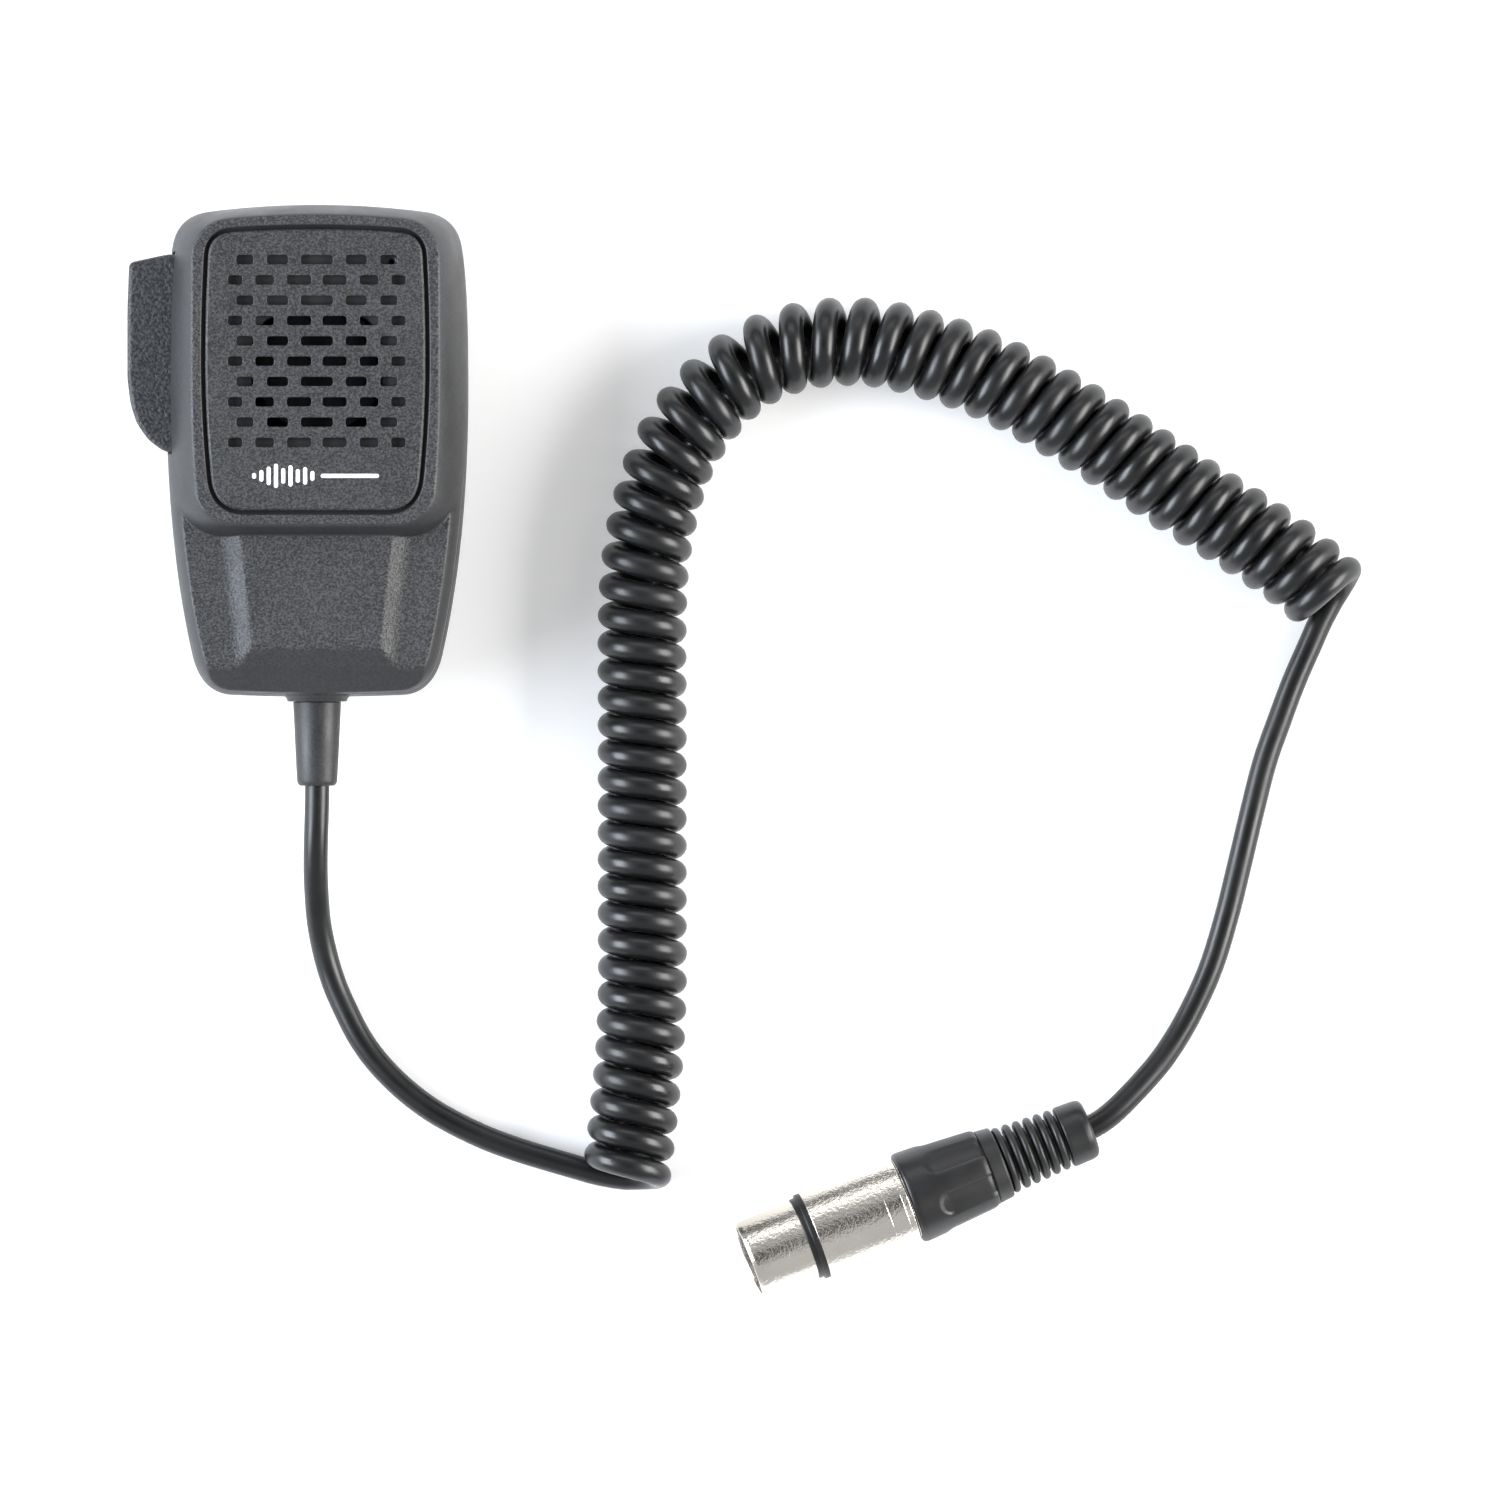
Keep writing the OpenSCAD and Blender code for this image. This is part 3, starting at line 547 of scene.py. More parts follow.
def slot_loop(at, half, more):
    """Outline of a slot, grown by more."""
    return round_cornered(at, half - SLOT_CORNER, SLOT_CORNER + more, 5)


def sheet_with_holes(outer, holes):
    """Triangles of a flat sheet, as indices into the outer loop's and then the holes' points."""
    loops = [outer, *holes]
    points = [Vector(p) for loop in loops for p in loop]
    edges, start = [], 0
    for loop in loops:
        edges += [(start + i, start + (i + 1) % len(loop)) for i in range(len(loop))]
        start += len(loop)
    found, _, faces, origin, _, _ = delaunay_2d_cdt(points, edges, [], 0, 1e-6)
    back = [ids[0] for ids in origin]
    spots = np.array([tuple(p) for p in found])
    kept = []
    for face in faces:
        middle = spots[list(face)].mean(axis=0)
        if inside(middle, outer) and not any(inside(middle, hole) for hole in holes):
            kept.append([back[i] for i in face])
    return kept


def inside(point, loop):
    """Whether a point is inside a closed loop."""
    low, high = loop.min(axis=0), loop.max(axis=0)
    if (point < low).any() or (point > high).any():
        return False
    a, b = loop, np.roll(loop, -1, axis=0)
    crosses = (a[:, 1] > point[1]) != (b[:, 1] > point[1])
    a, b = a[crosses], b[crosses]
    edge_x = (b[:, 0] - a[:, 0]) * (point[1] - a[:, 1]) / (b[:, 1] - a[:, 1]) + a[:, 0]
    return int((point[0] < edge_x).sum()) % 2 == 1


def make_grille_insert():
    outer = resample(INSERT, 360)
    holes = slots()
    # Each step is how far it stands in or out from the wall, and how deep it lies.
    slot_steps = [(EDGE_R, 0), (EDGE_R * 0.5, EDGE_R * 0.13), (EDGE_R * 0.13, EDGE_R * 0.5), (0, EDGE_R)]
    wide, deep = CHAMFER
    outer_steps = [(wide + 0.1, 0), (wide - 0.05, 0.04), (0.1, deep), (0, deep + 0.15)]
    points, faces, starts = [], [], []
    for (inset, drop), (more, down) in zip([*outer_steps, (0, INSERT_T)], [*slot_steps, (0, INSERT_T)]):
        starts.append(len(points))
        points.extend(level(grown(outer, -inset), FRONT_Z - drop))
        for at, half in holes:
            points.extend(level(slot_loop(at, half, more), FRONT_Z - down))
    sizes = [len(outer)] + [len(slot_loop(*hole, 0)) for hole in holes]
    sheet = sheet_with_holes(grown(outer, -wide - 0.1), [slot_loop(at, half, EDGE_R) for at, half in holes])
    faces += sheet
    for above, below in zip(starts[:-1], starts[1:]):
        first = 0
        for size in sizes:
            for i in range(size):
                a, b = first + i, first + (i + 1) % size
                faces.append([above + a, below + a, below + b, above + b])
            first += size
    underside = starts[-1]
    faces += [[underside + i for i in reversed(face)] for face in sheet]
    insert = new_object("grille_insert_skin", points, faces)
    tidy_normals(insert)
    even_normals(insert, 50)
    return insert


def tidy_normals(piece):
    """Points every face outwards."""
    work = bmesh.new()
    work.from_mesh(piece.data)
    bmesh.ops.recalc_face_normals(work, faces=work.faces)
    work.to_mesh(piece.data)
    work.free()


# --- Talk lever ---------------------------------------------------------------------------------

LEVER_Z = 12.5
LEVER_T = 14
LEVER_EDGE_R = 1.0
LEVER_HUB_R = 3
LEVER_BORE_R = 1.56
LEVER_PLATE = ((AXIS_X - 26.9, 30, LEVER_Z), (AXIS_X - 25.4, 42.8, LEVER_Z + LEVER_T))


def make_lever():
    body = np.array([[-30.6, 40.9], [-38.6, 39.2], [-38.95, 29.6], [-38.95, 15.2], [-38.3, 10], [-37, 6],
                     [-34.7, 2.7], [-31.4, 0.2], [-25.4, 0.2], [-25.4, 40.9]])
    outline = resample(rounded(body, 1.2, 6), 300)
    radius = LEVER_EDGE_R
    turns = np.linspace(0, math.pi / 2, 7)
    rings = [(radius * (1 - math.sin(turn)), LEVER_Z + radius * (1 - math.cos(turn))) for turn in turns]
    rings += [(radius - radius * math.cos(turn), LEVER_Z + LEVER_T - radius * (1 - math.sin(turn)))
              for turn in turns]
    lever = capped_solid("talk_lever_skin", [level(grown(outline, -inset), z) for inset, z in rings])
    tidy_normals(lever)
    hub = post_tool(LEVER_PIN, LEVER_Z, LEVER_Z + LEVER_T, LEVER_HUB_R)
    combine(lever, [box_tool(*LEVER_PLATE), hub], "UNION")
    combine(lever, [post_tool(LEVER_PIN, 0, 40, LEVER_BORE_R)], "DIFFERENCE")
    even_normals(lever, 40)
    return lever


# --- Strain relief ------------------------------------------------------------------------------


def make_strain_relief():
    place = Matrix.Translation((AXIS_X, -TOP_Y, PARTING_Z)) @ Matrix.Rotation(math.radians(90), 4, "X")
    points = [(2.6, -5), (5.8, -5), (5.8, -3.4), (4.4, -3.4), (4.4, 0), (4.95, 0.05), (4.78, 4), (4.58, 8.5),
              (4.36, 13), (4.15, 16.6), (3.7, 17.4), (2.6, 17.4)]
    relief = lathe("strain_relief_skin", rounded(points, 0.5, 4), place)
    even_normals(relief, 60)
    return relief


# --- Cord ---------------------------------------------------------------------------------------

CORD_D = 0.0051
COIL_D = 0.0185
COIL_TURNS = 53
TURN_POINTS = 32
COIL_R = (COIL_D - CORD_D) / 2
COIL_Z = COIL_D / 2

LEAD_ROUTE = [
    (0.0039, -0.036, 0.015), (0.0039, -0.052, 0.015), (0.0039, -0.068, 0.015), (0.0038, -0.074, 0.0147),
    (0.0036, -0.08, 0.0136), (0.0035, -0.086, 0.0116), (0.0037, -0.092, 0.0088), (0.0041, -0.097, 0.0063),
    (0.0049, -0.1015, 0.0044), (0.006, -0.106, 0.0032), (0.0075, -0.1105, 0.0027), (0.0095, -0.115, 0.0026),
    (0.012, -0.12, 0.0026), (0.015, -0.1245, 0.0026), (0.0185, -0.1285, 0.0026), (0.0225, -0.1322, 0.0026),
    (0.0275, -0.1359, 0.0026), (0.033, -0.139, 0.0026), (0.039, -0.1418, 0.0026), (0.045, -0.144, 0.0026),
    (0.0515, -0.146, 0.0026), (0.057, -0.1476, 0.0026), (0.062, -0.149, 0.0026)]
COIL_AXIS = [
    (0.0677, -0.1499), (0.069, -0.1385), (0.0705, -0.123), (0.071, -0.111), (0.071, -0.098), (0.071, -0.086),
    (0.071, -0.073), (0.071, -0.061), (0.071, -0.049), (0.071, -0.036), (0.0715, -0.024), (0.0735, -0.012),
    (0.0775, 0.0), (0.0845, 0.0105), (0.094, 0.0185), (0.1055, 0.0225), (0.118, 0.023), (0.13, 0.0205),
    (0.1415, 0.0165), (0.1525, 0.011), (0.1635, 0.0045), (0.1735, -0.002), (0.184, -0.009),
    (0.1945, -0.0155), (0.205, -0.0225), (0.214, -0.0299)]
TAIL_ROUTE = [
    (0.2115, -0.0345, 0.0026), (0.2095, -0.039, 0.0026), (0.206, -0.047, 0.0026), (0.203, -0.055, 0.0026),
    (0.2, -0.0635, 0.0026), (0.1973, -0.074, 0.0026), (0.1948, -0.0845, 0.0026), (0.192, -0.0958, 0.0026),
    (0.1885, -0.107, 0.0026), (0.1833, -0.118, 0.0029), (0.1787, -0.1252, 0.0037), (0.175, -0.1296, 0.0047),
    (0.1715, -0.1333, 0.0056), (0.1682, -0.13645, 0.0063)]

# The plug's place: a point on the cord behind it, the way it points and the lift of its nose
PLUG_REAR = Vector((164.55, -139, 0))
PLUG_HEADING = math.radians(201.3)
PLUG_TILT = math.radians(4.5)
REST_R = 9.35
REST_S = 33
PLUG_REAR.z = REST_R * math.cos(PLUG_TILT) - REST_S * math.sin(PLUG_TILT)
AT_PLUG = (Matrix.Translation(PLUG_REAR) @ Matrix.Rotation(PLUG_HEADING, 4, "Z")
           @ Matrix.Rotation(math.pi / 2 - PLUG_TILT, 4, "Y"))
PLUG_CORD_S = (0, 12, 28, 43.8)   # where the cord runs on inside the plug


def flowing(points, spacing):
    """A smooth curve through the points (centripetal Catmull-Rom), with a point about every spacing."""
    p = np.asarray(points, float)
    p = np.vstack([2 * p[0] - p[1], p, 2 * p[-1] - p[-2]])
    result = []
    for a, b, c, d in zip(p[:-3], p[1:-2], p[2:-1], p[3:]):
        t1 = np.linalg.norm(b - a) ** 0.5
        t2 = t1 + np.linalg.norm(c - b) ** 0.5
        t3 = t2 + np.linalg.norm(d - c) ** 0.5
        n = max(1, round(np.linalg.norm(c - b) / spacing))
        for t in np.linspace(t1, t2, n, endpoint=False):
            ab = a + (b - a) * t / t1
            bc = b + (c - b) * (t - t1) / (t2 - t1)
            cd = c + (d - c) * (t - t2) / (t3 - t2)
            abc = ab + (bc - ab) * t / t2
            bcd = bc + (cd - bc) * (t - t1) / (t3 - t1)
            result.append(abc + (bcd - abc) * (t - t1) / (t2 - t1))
    return np.vstack([result, p[-2]])


def helix():
    """The curly stretch. Where its axis bends, the turns touch on the inner side and fan out on the outer."""
    axis = flowing([(x, y, COIL_Z) for x, y in COIL_AXIS], 0.0002)
    forward = np.gradient(axis, axis=0)
    step = np.linalg.norm(forward, axis=1)
    forward /= step[:, None]
    turned = np.linalg.norm(np.gradient(forward, axis=0), axis=1) / step
    curvature = np.convolve(np.pad(turned, 40, mode="edge"), np.ones(81) / 81, mode="valid")
    phase = np.cumsum((1 - COIL_R * curvature) * step)
    phase = (phase - phase[0]) / (phase[-1] - phase[0]) * COIL_TURNS * 2 * math.pi
    wanted = np.linspace(0, phase[-1], COIL_TURNS * TURN_POINTS + 1)
    centre = np.column_stack([np.interp(wanted, phase, axis[:, k]) for k in range(3)])
    ahead = np.column_stack([np.interp(wanted, phase, forward[:, k]) for k in range(2)])
    right = np.column_stack([ahead[:, 1], -ahead[:, 0]])
    right /= np.linalg.norm(right, axis=1)[:, None]
    angle = wanted - math.pi / 2
    offset = np.column_stack([np.cos(angle)[:, None] * right, np.sin(angle)])
    return centre + COIL_R * offset


def make_cord():
    plug_points = [tuple(AT_PLUG @ Vector((0, 0, s)) * MM) for s in PLUG_CORD_S]
    route = flowing([*LEAD_ROUTE, *helix(), *TAIL_ROUTE, *plug_points], 0.0016)
    curve = bpy.data.curves.new("cord", "CURVE")
    curve.dimensions = "3D"
    curve.bevel_depth = CORD_D / 2
    curve.bevel_resolution = 8
    curve.use_fill_caps = True
    spline = curve.splines.new("POLY")
    spline.points.add(len(route) - 1)
    spline.points.foreach_set("co", np.column_stack([route, np.ones(len(route))]).ravel())
    spline.use_smooth = True
    piece = bpy.data.objects.new("cord", curve)
    bpy.context.scene.collection.objects.link(piece)
    return piece, float(np.linalg.norm(np.diff(route, axis=0), axis=1).sum())


# --- Plug ---------------------------------------------------------------------------------------


LATCH_CUT_HALF_W = 2.65
LATCH_CUT_X = (7, 12)
LATCH_CUTS = ((55.85, 62.05), (69.9, 72.4))   # openings for the latch's button and its hook, along the plug


def latch_cut(s0, s1):
    tool = box_tool((LATCH_CUT_X[0], -LATCH_CUT_HALF_W, s0), (LATCH_CUT_X[1], LATCH_CUT_HALF_W, s1))
    placed = AT_PLUG.copy()
    placed.translation *= MM
    tool.data.transform(placed)
    return tool


def make_plug_shell():
    points = [(7.4, 34.2), (8, 34.2), (8, 41.75), (8.8, 41.75), (8.8, 42.1), (9.38, 42.25), (9.4, 43.5),
              (9.45, 43.6), (9.47, 46.8), (9.44, 46.95), (9.5, 47.1),
              (9.5, 62.45), (8.15, 62.45), (8.15, 64.65), (8.35, 64.65), (8.35, 76.2), (8.0, 77.05),
              (7.7, 77.05), (7.6, 76.8), (7.6, 60), (8.2, 60), (8.2, 44), (7.4, 43.2)]
    shell = lathe("plug_shell_skin", rounded(points, 0.22), AT_PLUG, 144)
    tidy_normals(shell)
    combine(shell, [latch_cut(*ends) for ends in LATCH_CUTS], "DIFFERENCE")
    even_normals(shell, 50)
    return shell


FLUTES = 6
FLUTE_DEPTH = 0.5
FLUTE_HALF = math.radians(19)
FLUTE_FIRST = math.radians(154)
FLUTE_INNER_R = 8.15           # only the collar's skin outside this radius is fluted
FLUTE_CLOSE_S = 34             # where the flutes start to close
FLUTE_CLOSE = 2.6              # and the length over which they do
FLUTE_LIMIT_S = 38             # nothing sinks in beyond this


def flute(radius, s, turn):
    """How far the collar's skin sinks in at the finger flutes, which end in a half circle."""
    if radius < FLUTE_INNER_R or s > FLUTE_LIMIT_S:
        return np.zeros(len(turn))
    off = (turn - FLUTE_FIRST + math.pi / FLUTES) % (2 * math.pi / FLUTES) - math.pi / FLUTES
    beyond = max(s - FLUTE_CLOSE_S, 0) / FLUTE_CLOSE
    reach = np.hypot(off / FLUTE_HALF, beyond)
    depth = np.clip((1 - reach) / 0.3, 0, 1)
    return -FLUTE_DEPTH * depth * depth * (3 - 2 * depth) * (1 - 0.45 * beyond)


def make_collar():
    outer = rounded([(6.3, 24.05), (8.3, 24.05), (8.75, 25), (9.35, 33), (9.75, 40.8), (9.45, 41.7),
                     (8.1, 41.7), (8.1, 34), (6.3, 34)], 0.45, 4)
    points = []
    for a, b in zip(outer, np.roll(outer, -1, axis=0)):
        n = max(1, int(np.linalg.norm(b - a) / 0.35)) if min(a[0], b[0]) > FLUTE_INNER_R else 1
        points += [a + (b - a) * t for t in np.linspace(0, 1, n, endpoint=False)]
    collar = lathe("plug_collar_skin", points, AT_PLUG, 288, flute)
    tidy_normals(collar)
    return collar


RIBS = 6
RIB_PITCH = 2.27
FIRST_RIB_S = 6.9
BAND_S = FIRST_RIB_S + RIBS * RIB_PITCH


def make_bend_relief():
    points = [(2.6, 1), (5.4, 1), (6.1, 1.5), (6.4, 2.6), (6.5, 6.3), (6.35, 6.9), (5.0, 6.9)]
    for i in range(RIBS):
        start, radius = FIRST_RIB_S + i * RIB_PITCH, 6.5 + 0.12 * i
        points += [(5.0, start + 0.65), (radius - 0.45, start + 0.7), (radius, start + 1.15),
                   (radius, start + 1.75), (radius - 0.45, start + 2.2), (5.0, start + 2.25)]
    points += [(5.0, BAND_S + 0.1), (7.3, BAND_S + 0.15), (7.6, BAND_S + 0.5), (7.9, 24), (6.2, 24),
               (6.2, 31), (2.6, 31)]
    relief = lathe("plug_bend_relief_skin", rounded(points, 0.35, 4), AT_PLUG, 96)
    tidy_normals(relief)
    even_normals(relief, 60)
    return relief


def make_seal_ring():
    points = [(8.2, 62.47), (9.25, 62.47), (9.25, 63.5), (8.7, 63.6), (8.7, 64.65), (8.2, 64.65)]
    ring = lathe("plug_seal_ring_skin", rounded(points, 0.2, 4), AT_PLUG, 120)
    tidy_normals(ring)
    even_normals(ring, 60)
    return ring


# --- Springs ------------------------------------------------------------------------------------

# A spring's own values are its coil radius, length, turns and wire radius. It is squashed towards its anchor.
LEVER_SPRING_AT = (AXIS_X - 25, 33, 19.5)   # the end at the lever
LEVER_SPRING = (2.5, 5.65, 5, 0.3)
LATCH_SPRING_AT = (2.8, 59)    # x and s of the end that rests in the plug's insert
LATCH_SPRING = (1, 2.5, 4, 0.15)


def coil_spring(name, place, radius, length, turns, wire_r):
    """A compression spring of round wire, wound about its own Z axis and then put in place."""
    turn = np.linspace(0, 2 * math.pi * turns, turns * 24 + 1)[:, None]
    outwards = np.hstack([np.cos(turn), np.sin(turn), 0 * turn])
    centre = radius * outwards + np.hstack([0 * turn, 0 * turn, length * turn / turn[-1]])
    ahead = np.gradient(centre, axis=0)
    ahead /= np.linalg.norm(ahead, axis=1)[:, None]
    across = np.cross(ahead, outwards)
    rings = []
    for middle, u, v in zip(centre, outwards, across):
        ring = [middle + wire_r * (math.cos(a) * u + math.sin(a) * v)
                for a in np.linspace(0, 2 * math.pi, 10, endpoint=False)]
        rings.append(put(np.array(ring), place))
    spring = capped_solid(name, rings)
    tidy_normals(spring)
    return spring


def make_lever_spring():
    place = Matrix.Translation(LEVER_SPRING_AT) @ Matrix.Rotation(math.pi / 2, 4, "Y")
    return coil_spring("lever_spring_wire", place, *LEVER_SPRING)


def make_latch_spring():
    x, s = LATCH_SPRING_AT
    place = AT_PLUG @ Matrix.Translation((x, 0, s)) @ Matrix.Rotation(math.pi / 2, 4, "Y")
    return coil_spring("latch_spring_wire", place, *LATCH_SPRING)


# --- Printed mark -------------------------------------------------------------------------------

MARK_BARS = (1.2, 2.4, 3.8, 5.0, 3.2, 4.4, 2.8, 3.6, 2.0)
MARK_Y = -4.9
MARK_LEFT = -12.6
MARK_PITCH = 1.5
MARK_HALF_W = 0.42             # of a bar, and half the height of the line
MARK_LINE_HALF = 6.0
MARK_LINE_GAP = 6.2            # from the place of the next bar to the line's middle
MARK_DEPTH = 0.02
MARK_RISE = 0.03


def make_mark():
    """A generic printed sound level: a row of bars and a line after it."""
    shapes = [(MARK_LEFT + i * MARK_PITCH, MARK_HALF_W, height / 2) for i, height in enumerate(MARK_BARS)]
    line_x = MARK_LEFT + len(MARK_BARS) * MARK_PITCH + MARK_LINE_GAP
    shapes.append((line_x, MARK_LINE_HALF, MARK_HALF_W))
    points, faces = [], []
    for x, half_w, half_h in shapes:
        corner = min(half_w, half_h)
        loop = round_cornered(np.array([x, MARK_Y]), np.array([half_w, half_h]) - corner, corner, 6)
        start, n = len(points), len(loop)
        points.extend(level(loop, FRONT_Z - MARK_DEPTH))
        points.extend(level(loop, FRONT_Z + MARK_RISE))
        faces += [[start + n + i for i in range(n)], [start + n - 1 - i for i in range(n)]]
        faces += [[start + i, start + (i + 1) % n, start + n + (i + 1) % n, start + n + i] for i in range(n)]
    return new_object("printed_mark", points, faces, smooth=False)


# --- Materials ----------------------------------------------------------------------------------


def add(tree, kind, inputs=None, **settings):
    """A shader node with its settings and inputs. An input is a value or another node's output."""
    made = tree.nodes.new(kind)
    for key, value in settings.items():
        setattr(made, key, value)
    for key, value in (inputs or {}).items():
        if isinstance(value, bpy.types.NodeSocket):
            tree.links.new(value, made.inputs[key])
        else:
            made.inputs[key].default_value = value
    return made


def shade(colour, factor):
    return (*(min(1, c * factor) for c in colour), 1)


STEEP = (0.72, 0.86)           # upward share of the normal, from a slope to a face that counts as flat
END_TILT = (-0.42, -0.26)      # and the same for the slope at the lower end, by the normal's Y
# Share of the painted glints left on steep faces and on the lower end's slope, which turn away from the
# lights
SLOPE_GLINT_SHARE = 0.2


def surface(name, colour, roughness, metallic=0.0, grain=0.4, depth=0.02, tone=0.12, cells=False, vary=0.08,
            painted_glint=0.0, coat=0.0, sheen=0.0, smooth_slopes=None):
    """A moulded, cast or turned surface: cloudy tone, grain of that width and depth in mm, uneven gloss.
    tone and vary are how far colour and gloss wander, the grain's high spots are lightened as painted glints,
    and smooth_slopes is the share of the bump that is left on a steep face, where the painted glints fade as
    well."""
    material = bpy.data.materials.new(name)
    material.use_nodes = True
    tree = material.node_tree
    shader = tree.nodes["Principled BSDF"]
    place = add(tree, "ShaderNodeTexCoord").outputs["Object"]
    cloud = add(tree, "ShaderNodeTexNoise", {"Vector": place, "Scale": 90, "Detail": 4, "Roughness": 0.6})
    fine = add(tree, "ShaderNodeTexNoise", {"Vector": place, "Scale": 1000 / grain, "Detail": 2,
                                            "Roughness": 0.65})
    height = fine.outputs["Fac"]
    if cells:
        warp = add(tree, "ShaderNodeVectorMath", {0: place, 1: (1, 1.35, 1)}, operation="MULTIPLY")
        cell = add(tree, "ShaderNodeTexVoronoi", {"Vector": warp.outputs[0], "Scale": 900 / grain,
                                                  "Randomness": 1}, feature="SMOOTH_F1")
        height = add(tree, "ShaderNodeMix", {0: 0.7, 2: cell.outputs["Distance"], 3: height}).outputs[0]
    strength = 1
    if smooth_slopes is not None:
        normal = add(tree, "ShaderNodeNewGeometry").outputs["Normal"]
        parts = add(tree, "ShaderNodeSeparateXYZ", {0: normal}).outputs
        rise = add(tree, "ShaderNodeMath", {0: parts["Z"]}, operation="ABSOLUTE").outputs[0]
        flat = add(tree, "ShaderNodeMapRange",
                   {0: rise, 1: STEEP[0], 2: STEEP[1], 3: smooth_slopes, 4: 1}).outputs[0]
        end = add(tree, "ShaderNodeMapRange",
                  {0: parts["Y"], 1: END_TILT[0], 2: END_TILT[1], 3: smooth_slopes, 4: 1}).outputs[0]
        strength = add(tree, "ShaderNodeMath", {0: flat, 1: end}, operation="MINIMUM").outputs[0]
    bump = add(tree, "ShaderNodeBump", {"Height": height, "Strength": strength, "Distance": depth * MM})
    mix = add(tree, "ShaderNodeMix",
              {0: cloud.outputs["Fac"], 6: shade(colour, 1 - tone), 7: shade(colour, 1 + tone)},
              data_type="RGBA").outputs[2]
    # Painted glints: the grain's high spots are lightened in the colour, standing in for light glinting off
    # the grain.
    if painted_glint:
        spots = add(tree, "ShaderNodeMapRange", {0: height, 1: 0.4, 2: 0.58}).outputs[0]
        # On steep faces and on faces turned towards the lower end, away from the lights, the painted glints
        # fade.
        if smooth_slopes is not None:
            spots = add(tree, "ShaderNodeMapRange", {0: strength, 3: SLOPE_GLINT_SHARE, 4: spots}).outputs[0]
        mix = add(tree, "ShaderNodeMix", {0: spots, 6: mix, 7: shade(colour, 1 + painted_glint)},
                  data_type="RGBA").outputs[2]
    gloss = add(tree, "ShaderNodeMapRange", {0: cloud.outputs["Fac"], 1: 0.3, 2: 0.7, 3: roughness - vary,
                                             4: roughness + vary})
    tree.links.new(mix, shader.inputs["Base Color"])
    tree.links.new(gloss.outputs[0], shader.inputs["Roughness"])
    tree.links.new(bump.outputs[0], shader.inputs["Normal"])
    shader.inputs["Metallic"].default_value = metallic
    shader.inputs["Coat Weight"].default_value = coat
    shader.inputs["Sheen Weight"].default_value = sheen
    return material


# The housing, insert, lever and strain relief materials have painted glints lightening their grain.
HOUSING = surface("housing_plastic", (0.0128, 0.013, 0.0137), 0.46, grain=0.44, depth=0.24, cells=True,
                  painted_glint=3.9, smooth_slopes=0.2)
INSERT_PLASTIC = surface("insert_plastic", (0.0122, 0.0124, 0.013), 0.47, grain=0.42, depth=0.2, cells=True,
                         painted_glint=3.8)
LEVER_PLASTIC = surface("lever_plastic", (0.014, 0.0143, 0.0155), 0.46, grain=0.62, depth=0.34, cells=True,
                        painted_glint=3.2)
RELIEF_RUBBER = surface("relief_rubber", (0.0145, 0.0148, 0.0152), 0.45, grain=0.36, depth=0.08, cells=True,
                        painted_glint=0.9)
JACKET = surface("cord_jacket", (0.006, 0.0062, 0.0067), 0.34, grain=0.5, depth=0.008, tone=0.25)
COLLAR_PLASTIC = surface("collar_plastic", (0.012, 0.012, 0.0125), 0.36, grain=0.4, depth=0.012, tone=0.25)
BOOT_RUBBER = surface("boot_rubber", (0.0115, 0.0118, 0.012), 0.4, grain=0.4, depth=0.014, tone=0.25)
SEAL_RUBBER = surface("seal_rubber", (0.005, 0.005, 0.005), 0.42, grain=0.3, depth=0.008)
NICKEL = surface("satin_nickel", (0.8, 0.755, 0.69), 0.22, 1.0, grain=0.7, depth=0.12, tone=0.05, vary=0.04)
# Painted shade: a smooth copy of the housing plastic without its painted glints, toned to the dim look of the
# shaded slot floors.
SLOT_FLOOR_SHADE = surface("pocket_painted_shade", (0.021, 0.0212, 0.022), 0.5, grain=0.5, depth=0.03, tone=0.2)
PRINT = surface("white_print", (0.86, 0.86, 0.85), 0.55, grain=0.25, depth=0.01, tone=0.03)
CLOTH = surface("acoustic_cloth", (0.008, 0.008, 0.009), 0.9, grain=0.22, depth=0.08, cells=True, sheen=0.1)
CAN = surface("capsule_can", (0.7, 0.71, 0.72), 0.34, 1.0, grain=0.3, depth=0.01, tone=0.06)
SOFT_RUBBER = surface("soft_rubber", (0.018, 0.018, 0.019), 0.6, grain=0.4, depth=0.02)
WIRE = surface("wire_insulation", (0.35, 0.03, 0.02), 0.42, grain=0.3, depth=0.01)
BOARD = surface("board_laminate", (0.02, 0.11, 0.045), 0.32, grain=0.25, depth=0.006, tone=0.2, coat=0.3)
ZINC = surface("zinc_steel", (0.6, 0.6, 0.58), 0.32, 1.0, grain=0.25, depth=0.01, tone=0.1)
SPRING = surface("spring_steel", (0.5, 0.5, 0.5), 0.28, 1.0, grain=0.2, depth=0.004, tone=0.1)
SWITCH_CASE = surface("switch_case", (0.014, 0.014, 0.015), 0.45, grain=0.3, depth=0.01)
SWITCH_RED = surface("switch_button", (0.36, 0.035, 0.025), 0.4, grain=0.3, depth=0.008)
STUD = surface("stud_metal", (0.62, 0.61, 0.58), 0.3, 1.0, grain=0.3, depth=0.008, tone=0.08)
BLACK_SCREW = surface("black_screws", (0.05, 0.05, 0.052), 0.38, 1.0, grain=0.22, depth=0.01)
CHUCK = surface("chuck_plastic", (0.62, 0.62, 0.58), 0.45, grain=0.3, depth=0.008)
GOLD = surface("contact_metal", (0.78, 0.60, 0.28), 0.26, 1.0, grain=0.2, depth=0.004, tone=0.08)
INSULATOR = surface("insert_insulator", (0.012, 0.012, 0.012), 0.42, grain=0.3, depth=0.01)

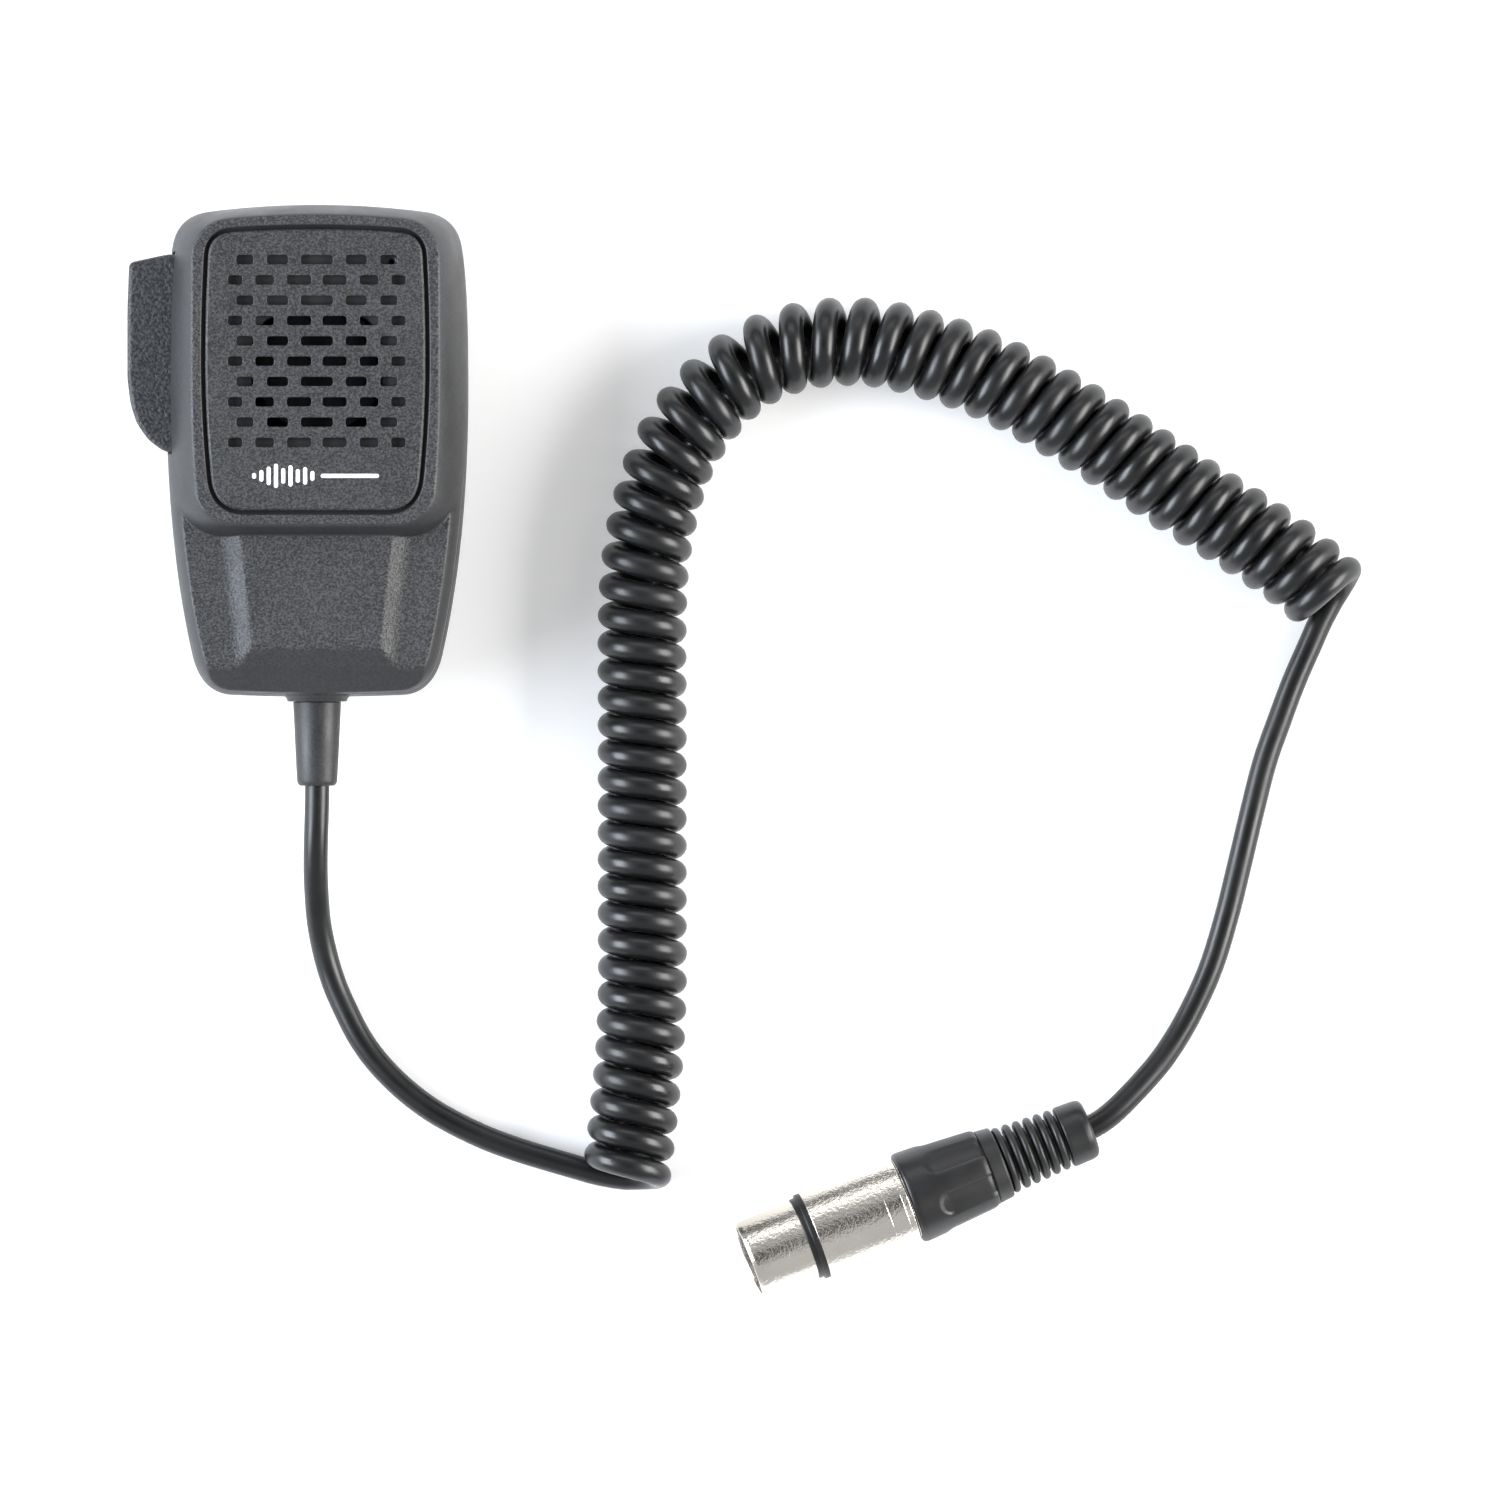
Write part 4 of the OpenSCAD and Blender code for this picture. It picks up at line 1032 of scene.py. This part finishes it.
CAD_LOOKS = {
    "front_shell": HOUSING, "rear_shell": HOUSING, "grille_insert": INSERT_PLASTIC, "acoustic_cloth": CLOTH,
    "mic_capsule": CAN, "capsule_boot": SOFT_RUBBER, "capsule_leads": WIRE, "circuit_board": BOARD,
    "board_screws": ZINC, "switch_body": SWITCH_CASE, "switch_plunger": SWITCH_RED,
    "ptt_lever": LEVER_PLASTIC, "ptt_pivot_pin": ZINC, "ptt_return_spring": SPRING, "hang_stud": STUD,
    "hang_stud_screw": ZINC,
    "case_screws": BLACK_SCREW, "strain_relief": RELIEF_RUBBER, "cable_clamp": ZINC, "clamp_screws": ZINC,
    "cord_conductors": WIRE, "cord_lead": JACKET, "cord_curly": JACKET, "cord_tail": JACKET,
    "plug_bend_relief": BOOT_RUBBER, "plug_collar": COLLAR_PLASTIC, "plug_chuck": CHUCK, "plug_shell": NICKEL,
    "plug_seal_ring": SEAL_RUBBER, "plug_insert": INSULATOR, "plug_contacts": GOLD, "plug_conductors": WIRE,
    "plug_latch": NICKEL, "latch_spring": SPRING}


def paint(piece, material):
    piece.data.materials.clear()
    piece.data.materials.append(material)


for name, look in CAD_LOOKS.items():
    paint(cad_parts[name], look)

# --- Pieces -------------------------------------------------------------------------------------


def install(piece, body, material, slot, *replaced):
    paint(piece, material)
    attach(piece, body)
    if replaced:
        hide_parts(*replaced)
    return piece


LEVEL_MARGIN = 0.06


def paint_level(piece, material, z):
    """Gives the flat faces at height z a material of their own."""
    piece.data.materials.append(material)
    for face in piece.data.polygons:
        if abs(face.center.z / MM - z) < LEVEL_MARGIN and abs(face.normal.z) > 0.9:
            face.material_index = len(piece.data.materials) - 1


cord, cord_length = make_cord()
install(cord, "housing", JACKET, "cord_jacket", "cord_lead", "cord_curly", "cord_tail")
front = install(make_front_shell(), "housing", HOUSING, "housing", "front_shell")
# The pocket floor seen through the slots takes the painted shade material.
paint_level(front, SLOT_FLOOR_SHADE, POCKET_Z)
install(make_rear_shell(), "housing", HOUSING, "housing", "rear_shell")
install(make_grille_insert(), "housing", INSERT_PLASTIC, "grille", "grille_insert")
install(make_mark(), "housing", PRINT, "grille")
install(make_lever(), "talk_lever", LEVER_PLASTIC, "lever", "ptt_lever")
relief = install(make_strain_relief(), "housing", RELIEF_RUBBER, "relief_rubber", "strain_relief")
boot = install(make_bend_relief(), "housing", BOOT_RUBBER, "relief_rubber", "plug_bend_relief")
collar = install(make_collar(), "housing", COLLAR_PLASTIC, "plug_plastic", "plug_collar")
plug_shell = install(make_plug_shell(), "housing", NICKEL, "nickel", "plug_shell")
seal = install(make_seal_ring(), "housing", SEAL_RUBBER, "soft_rubber", "plug_seal_ring")
lever_spring = install(make_lever_spring(), "housing", SPRING, "spring_steel", "ptt_return_spring")
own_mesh(lever_spring)
latch_spring = install(make_latch_spring(), "housing", SPRING, "spring_steel", "latch_spring")
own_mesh(latch_spring)

# --- Studio -------------------------------------------------------------------------------------


def softbox(name, at, aim, size, power, colour):
    lamp = bpy.data.lights.new(name, "AREA")
    lamp.shape = "RECTANGLE"
    lamp.size, lamp.size_y = size
    lamp.energy = power
    lamp.color = colour
    box = bpy.data.objects.new(name, lamp)
    box.location = at
    box.rotation_euler = (Vector(aim) - Vector(at)).to_track_quat("-Z", "Y").to_euler()
    box.visible_camera = False
    bpy.context.scene.collection.objects.link(box)


MIDDLE = (*VIEW_CENTRE, 0)
softbox("left_light", (-1.35, -0.05, 0.78), MIDDLE, (1.3, 0.9), 48, (0.84, 0.91, 1.0))
softbox("right_light", (1.55, -0.05, 0.78), MIDDLE, (1.3, 0.9), 44, (1.0, 0.99, 0.97))
softbox("back_light", (0.1, 1.4, 1.0), MIDDLE, (1.6, 0.7), 6, (1.0, 1.0, 1.0))

FLOOR_HALF = 3000
FLOOR_Z = -0.2
corners = [(x * FLOOR_HALF, y * FLOOR_HALF, FLOOR_Z) for x, y in ((-1, -1), (1, -1), (1, 1), (-1, 1))]
floor = new_object("floor", corners, [[0, 1, 2, 3]], smooth=False)
floor_material = bpy.data.materials.new("floor")
floor_material.use_nodes = True
floor_shader = floor_material.node_tree.nodes["Principled BSDF"].inputs
floor_shader["Base Color"].default_value = (0.9, 0.9, 0.9, 1)
floor_shader["Roughness"].default_value = 0.9
floor_shader["Emission Color"].default_value = (1, 1, 1, 1)
floor_shader["Emission Strength"].default_value = 0.2
paint(floor, floor_material)

world = bpy.data.worlds.new("studio")
world.use_nodes = True
bpy.context.scene.world = world
sky = world.node_tree
direction = add(sky, "ShaderNodeTexCoord").outputs["Generated"]
parts = add(sky, "ShaderNodeSeparateXYZ", {0: direction}).outputs
# Dark overhead, and dimmer behind the housing's top end
dome = add(sky, "ShaderNodeMapRange", {0: parts["Z"], 1: 0.92, 2: 0.98, 3: 0.56, 4: 0.02}).outputs[0]
behind = add(sky, "ShaderNodeMapRange", {0: parts["Y"], 1: 0.3, 2: 0.9, 3: 1.0, 4: 0.4}).outputs[0]
dome = add(sky, "ShaderNodeMath", {0: dome, 1: behind}, operation="MULTIPLY").outputs[0]
sky.links.new(dome, sky.nodes["Background"].inputs["Strength"])
sky.nodes["Background"].inputs["Color"].default_value = (0.97, 0.98, 1.0, 1)
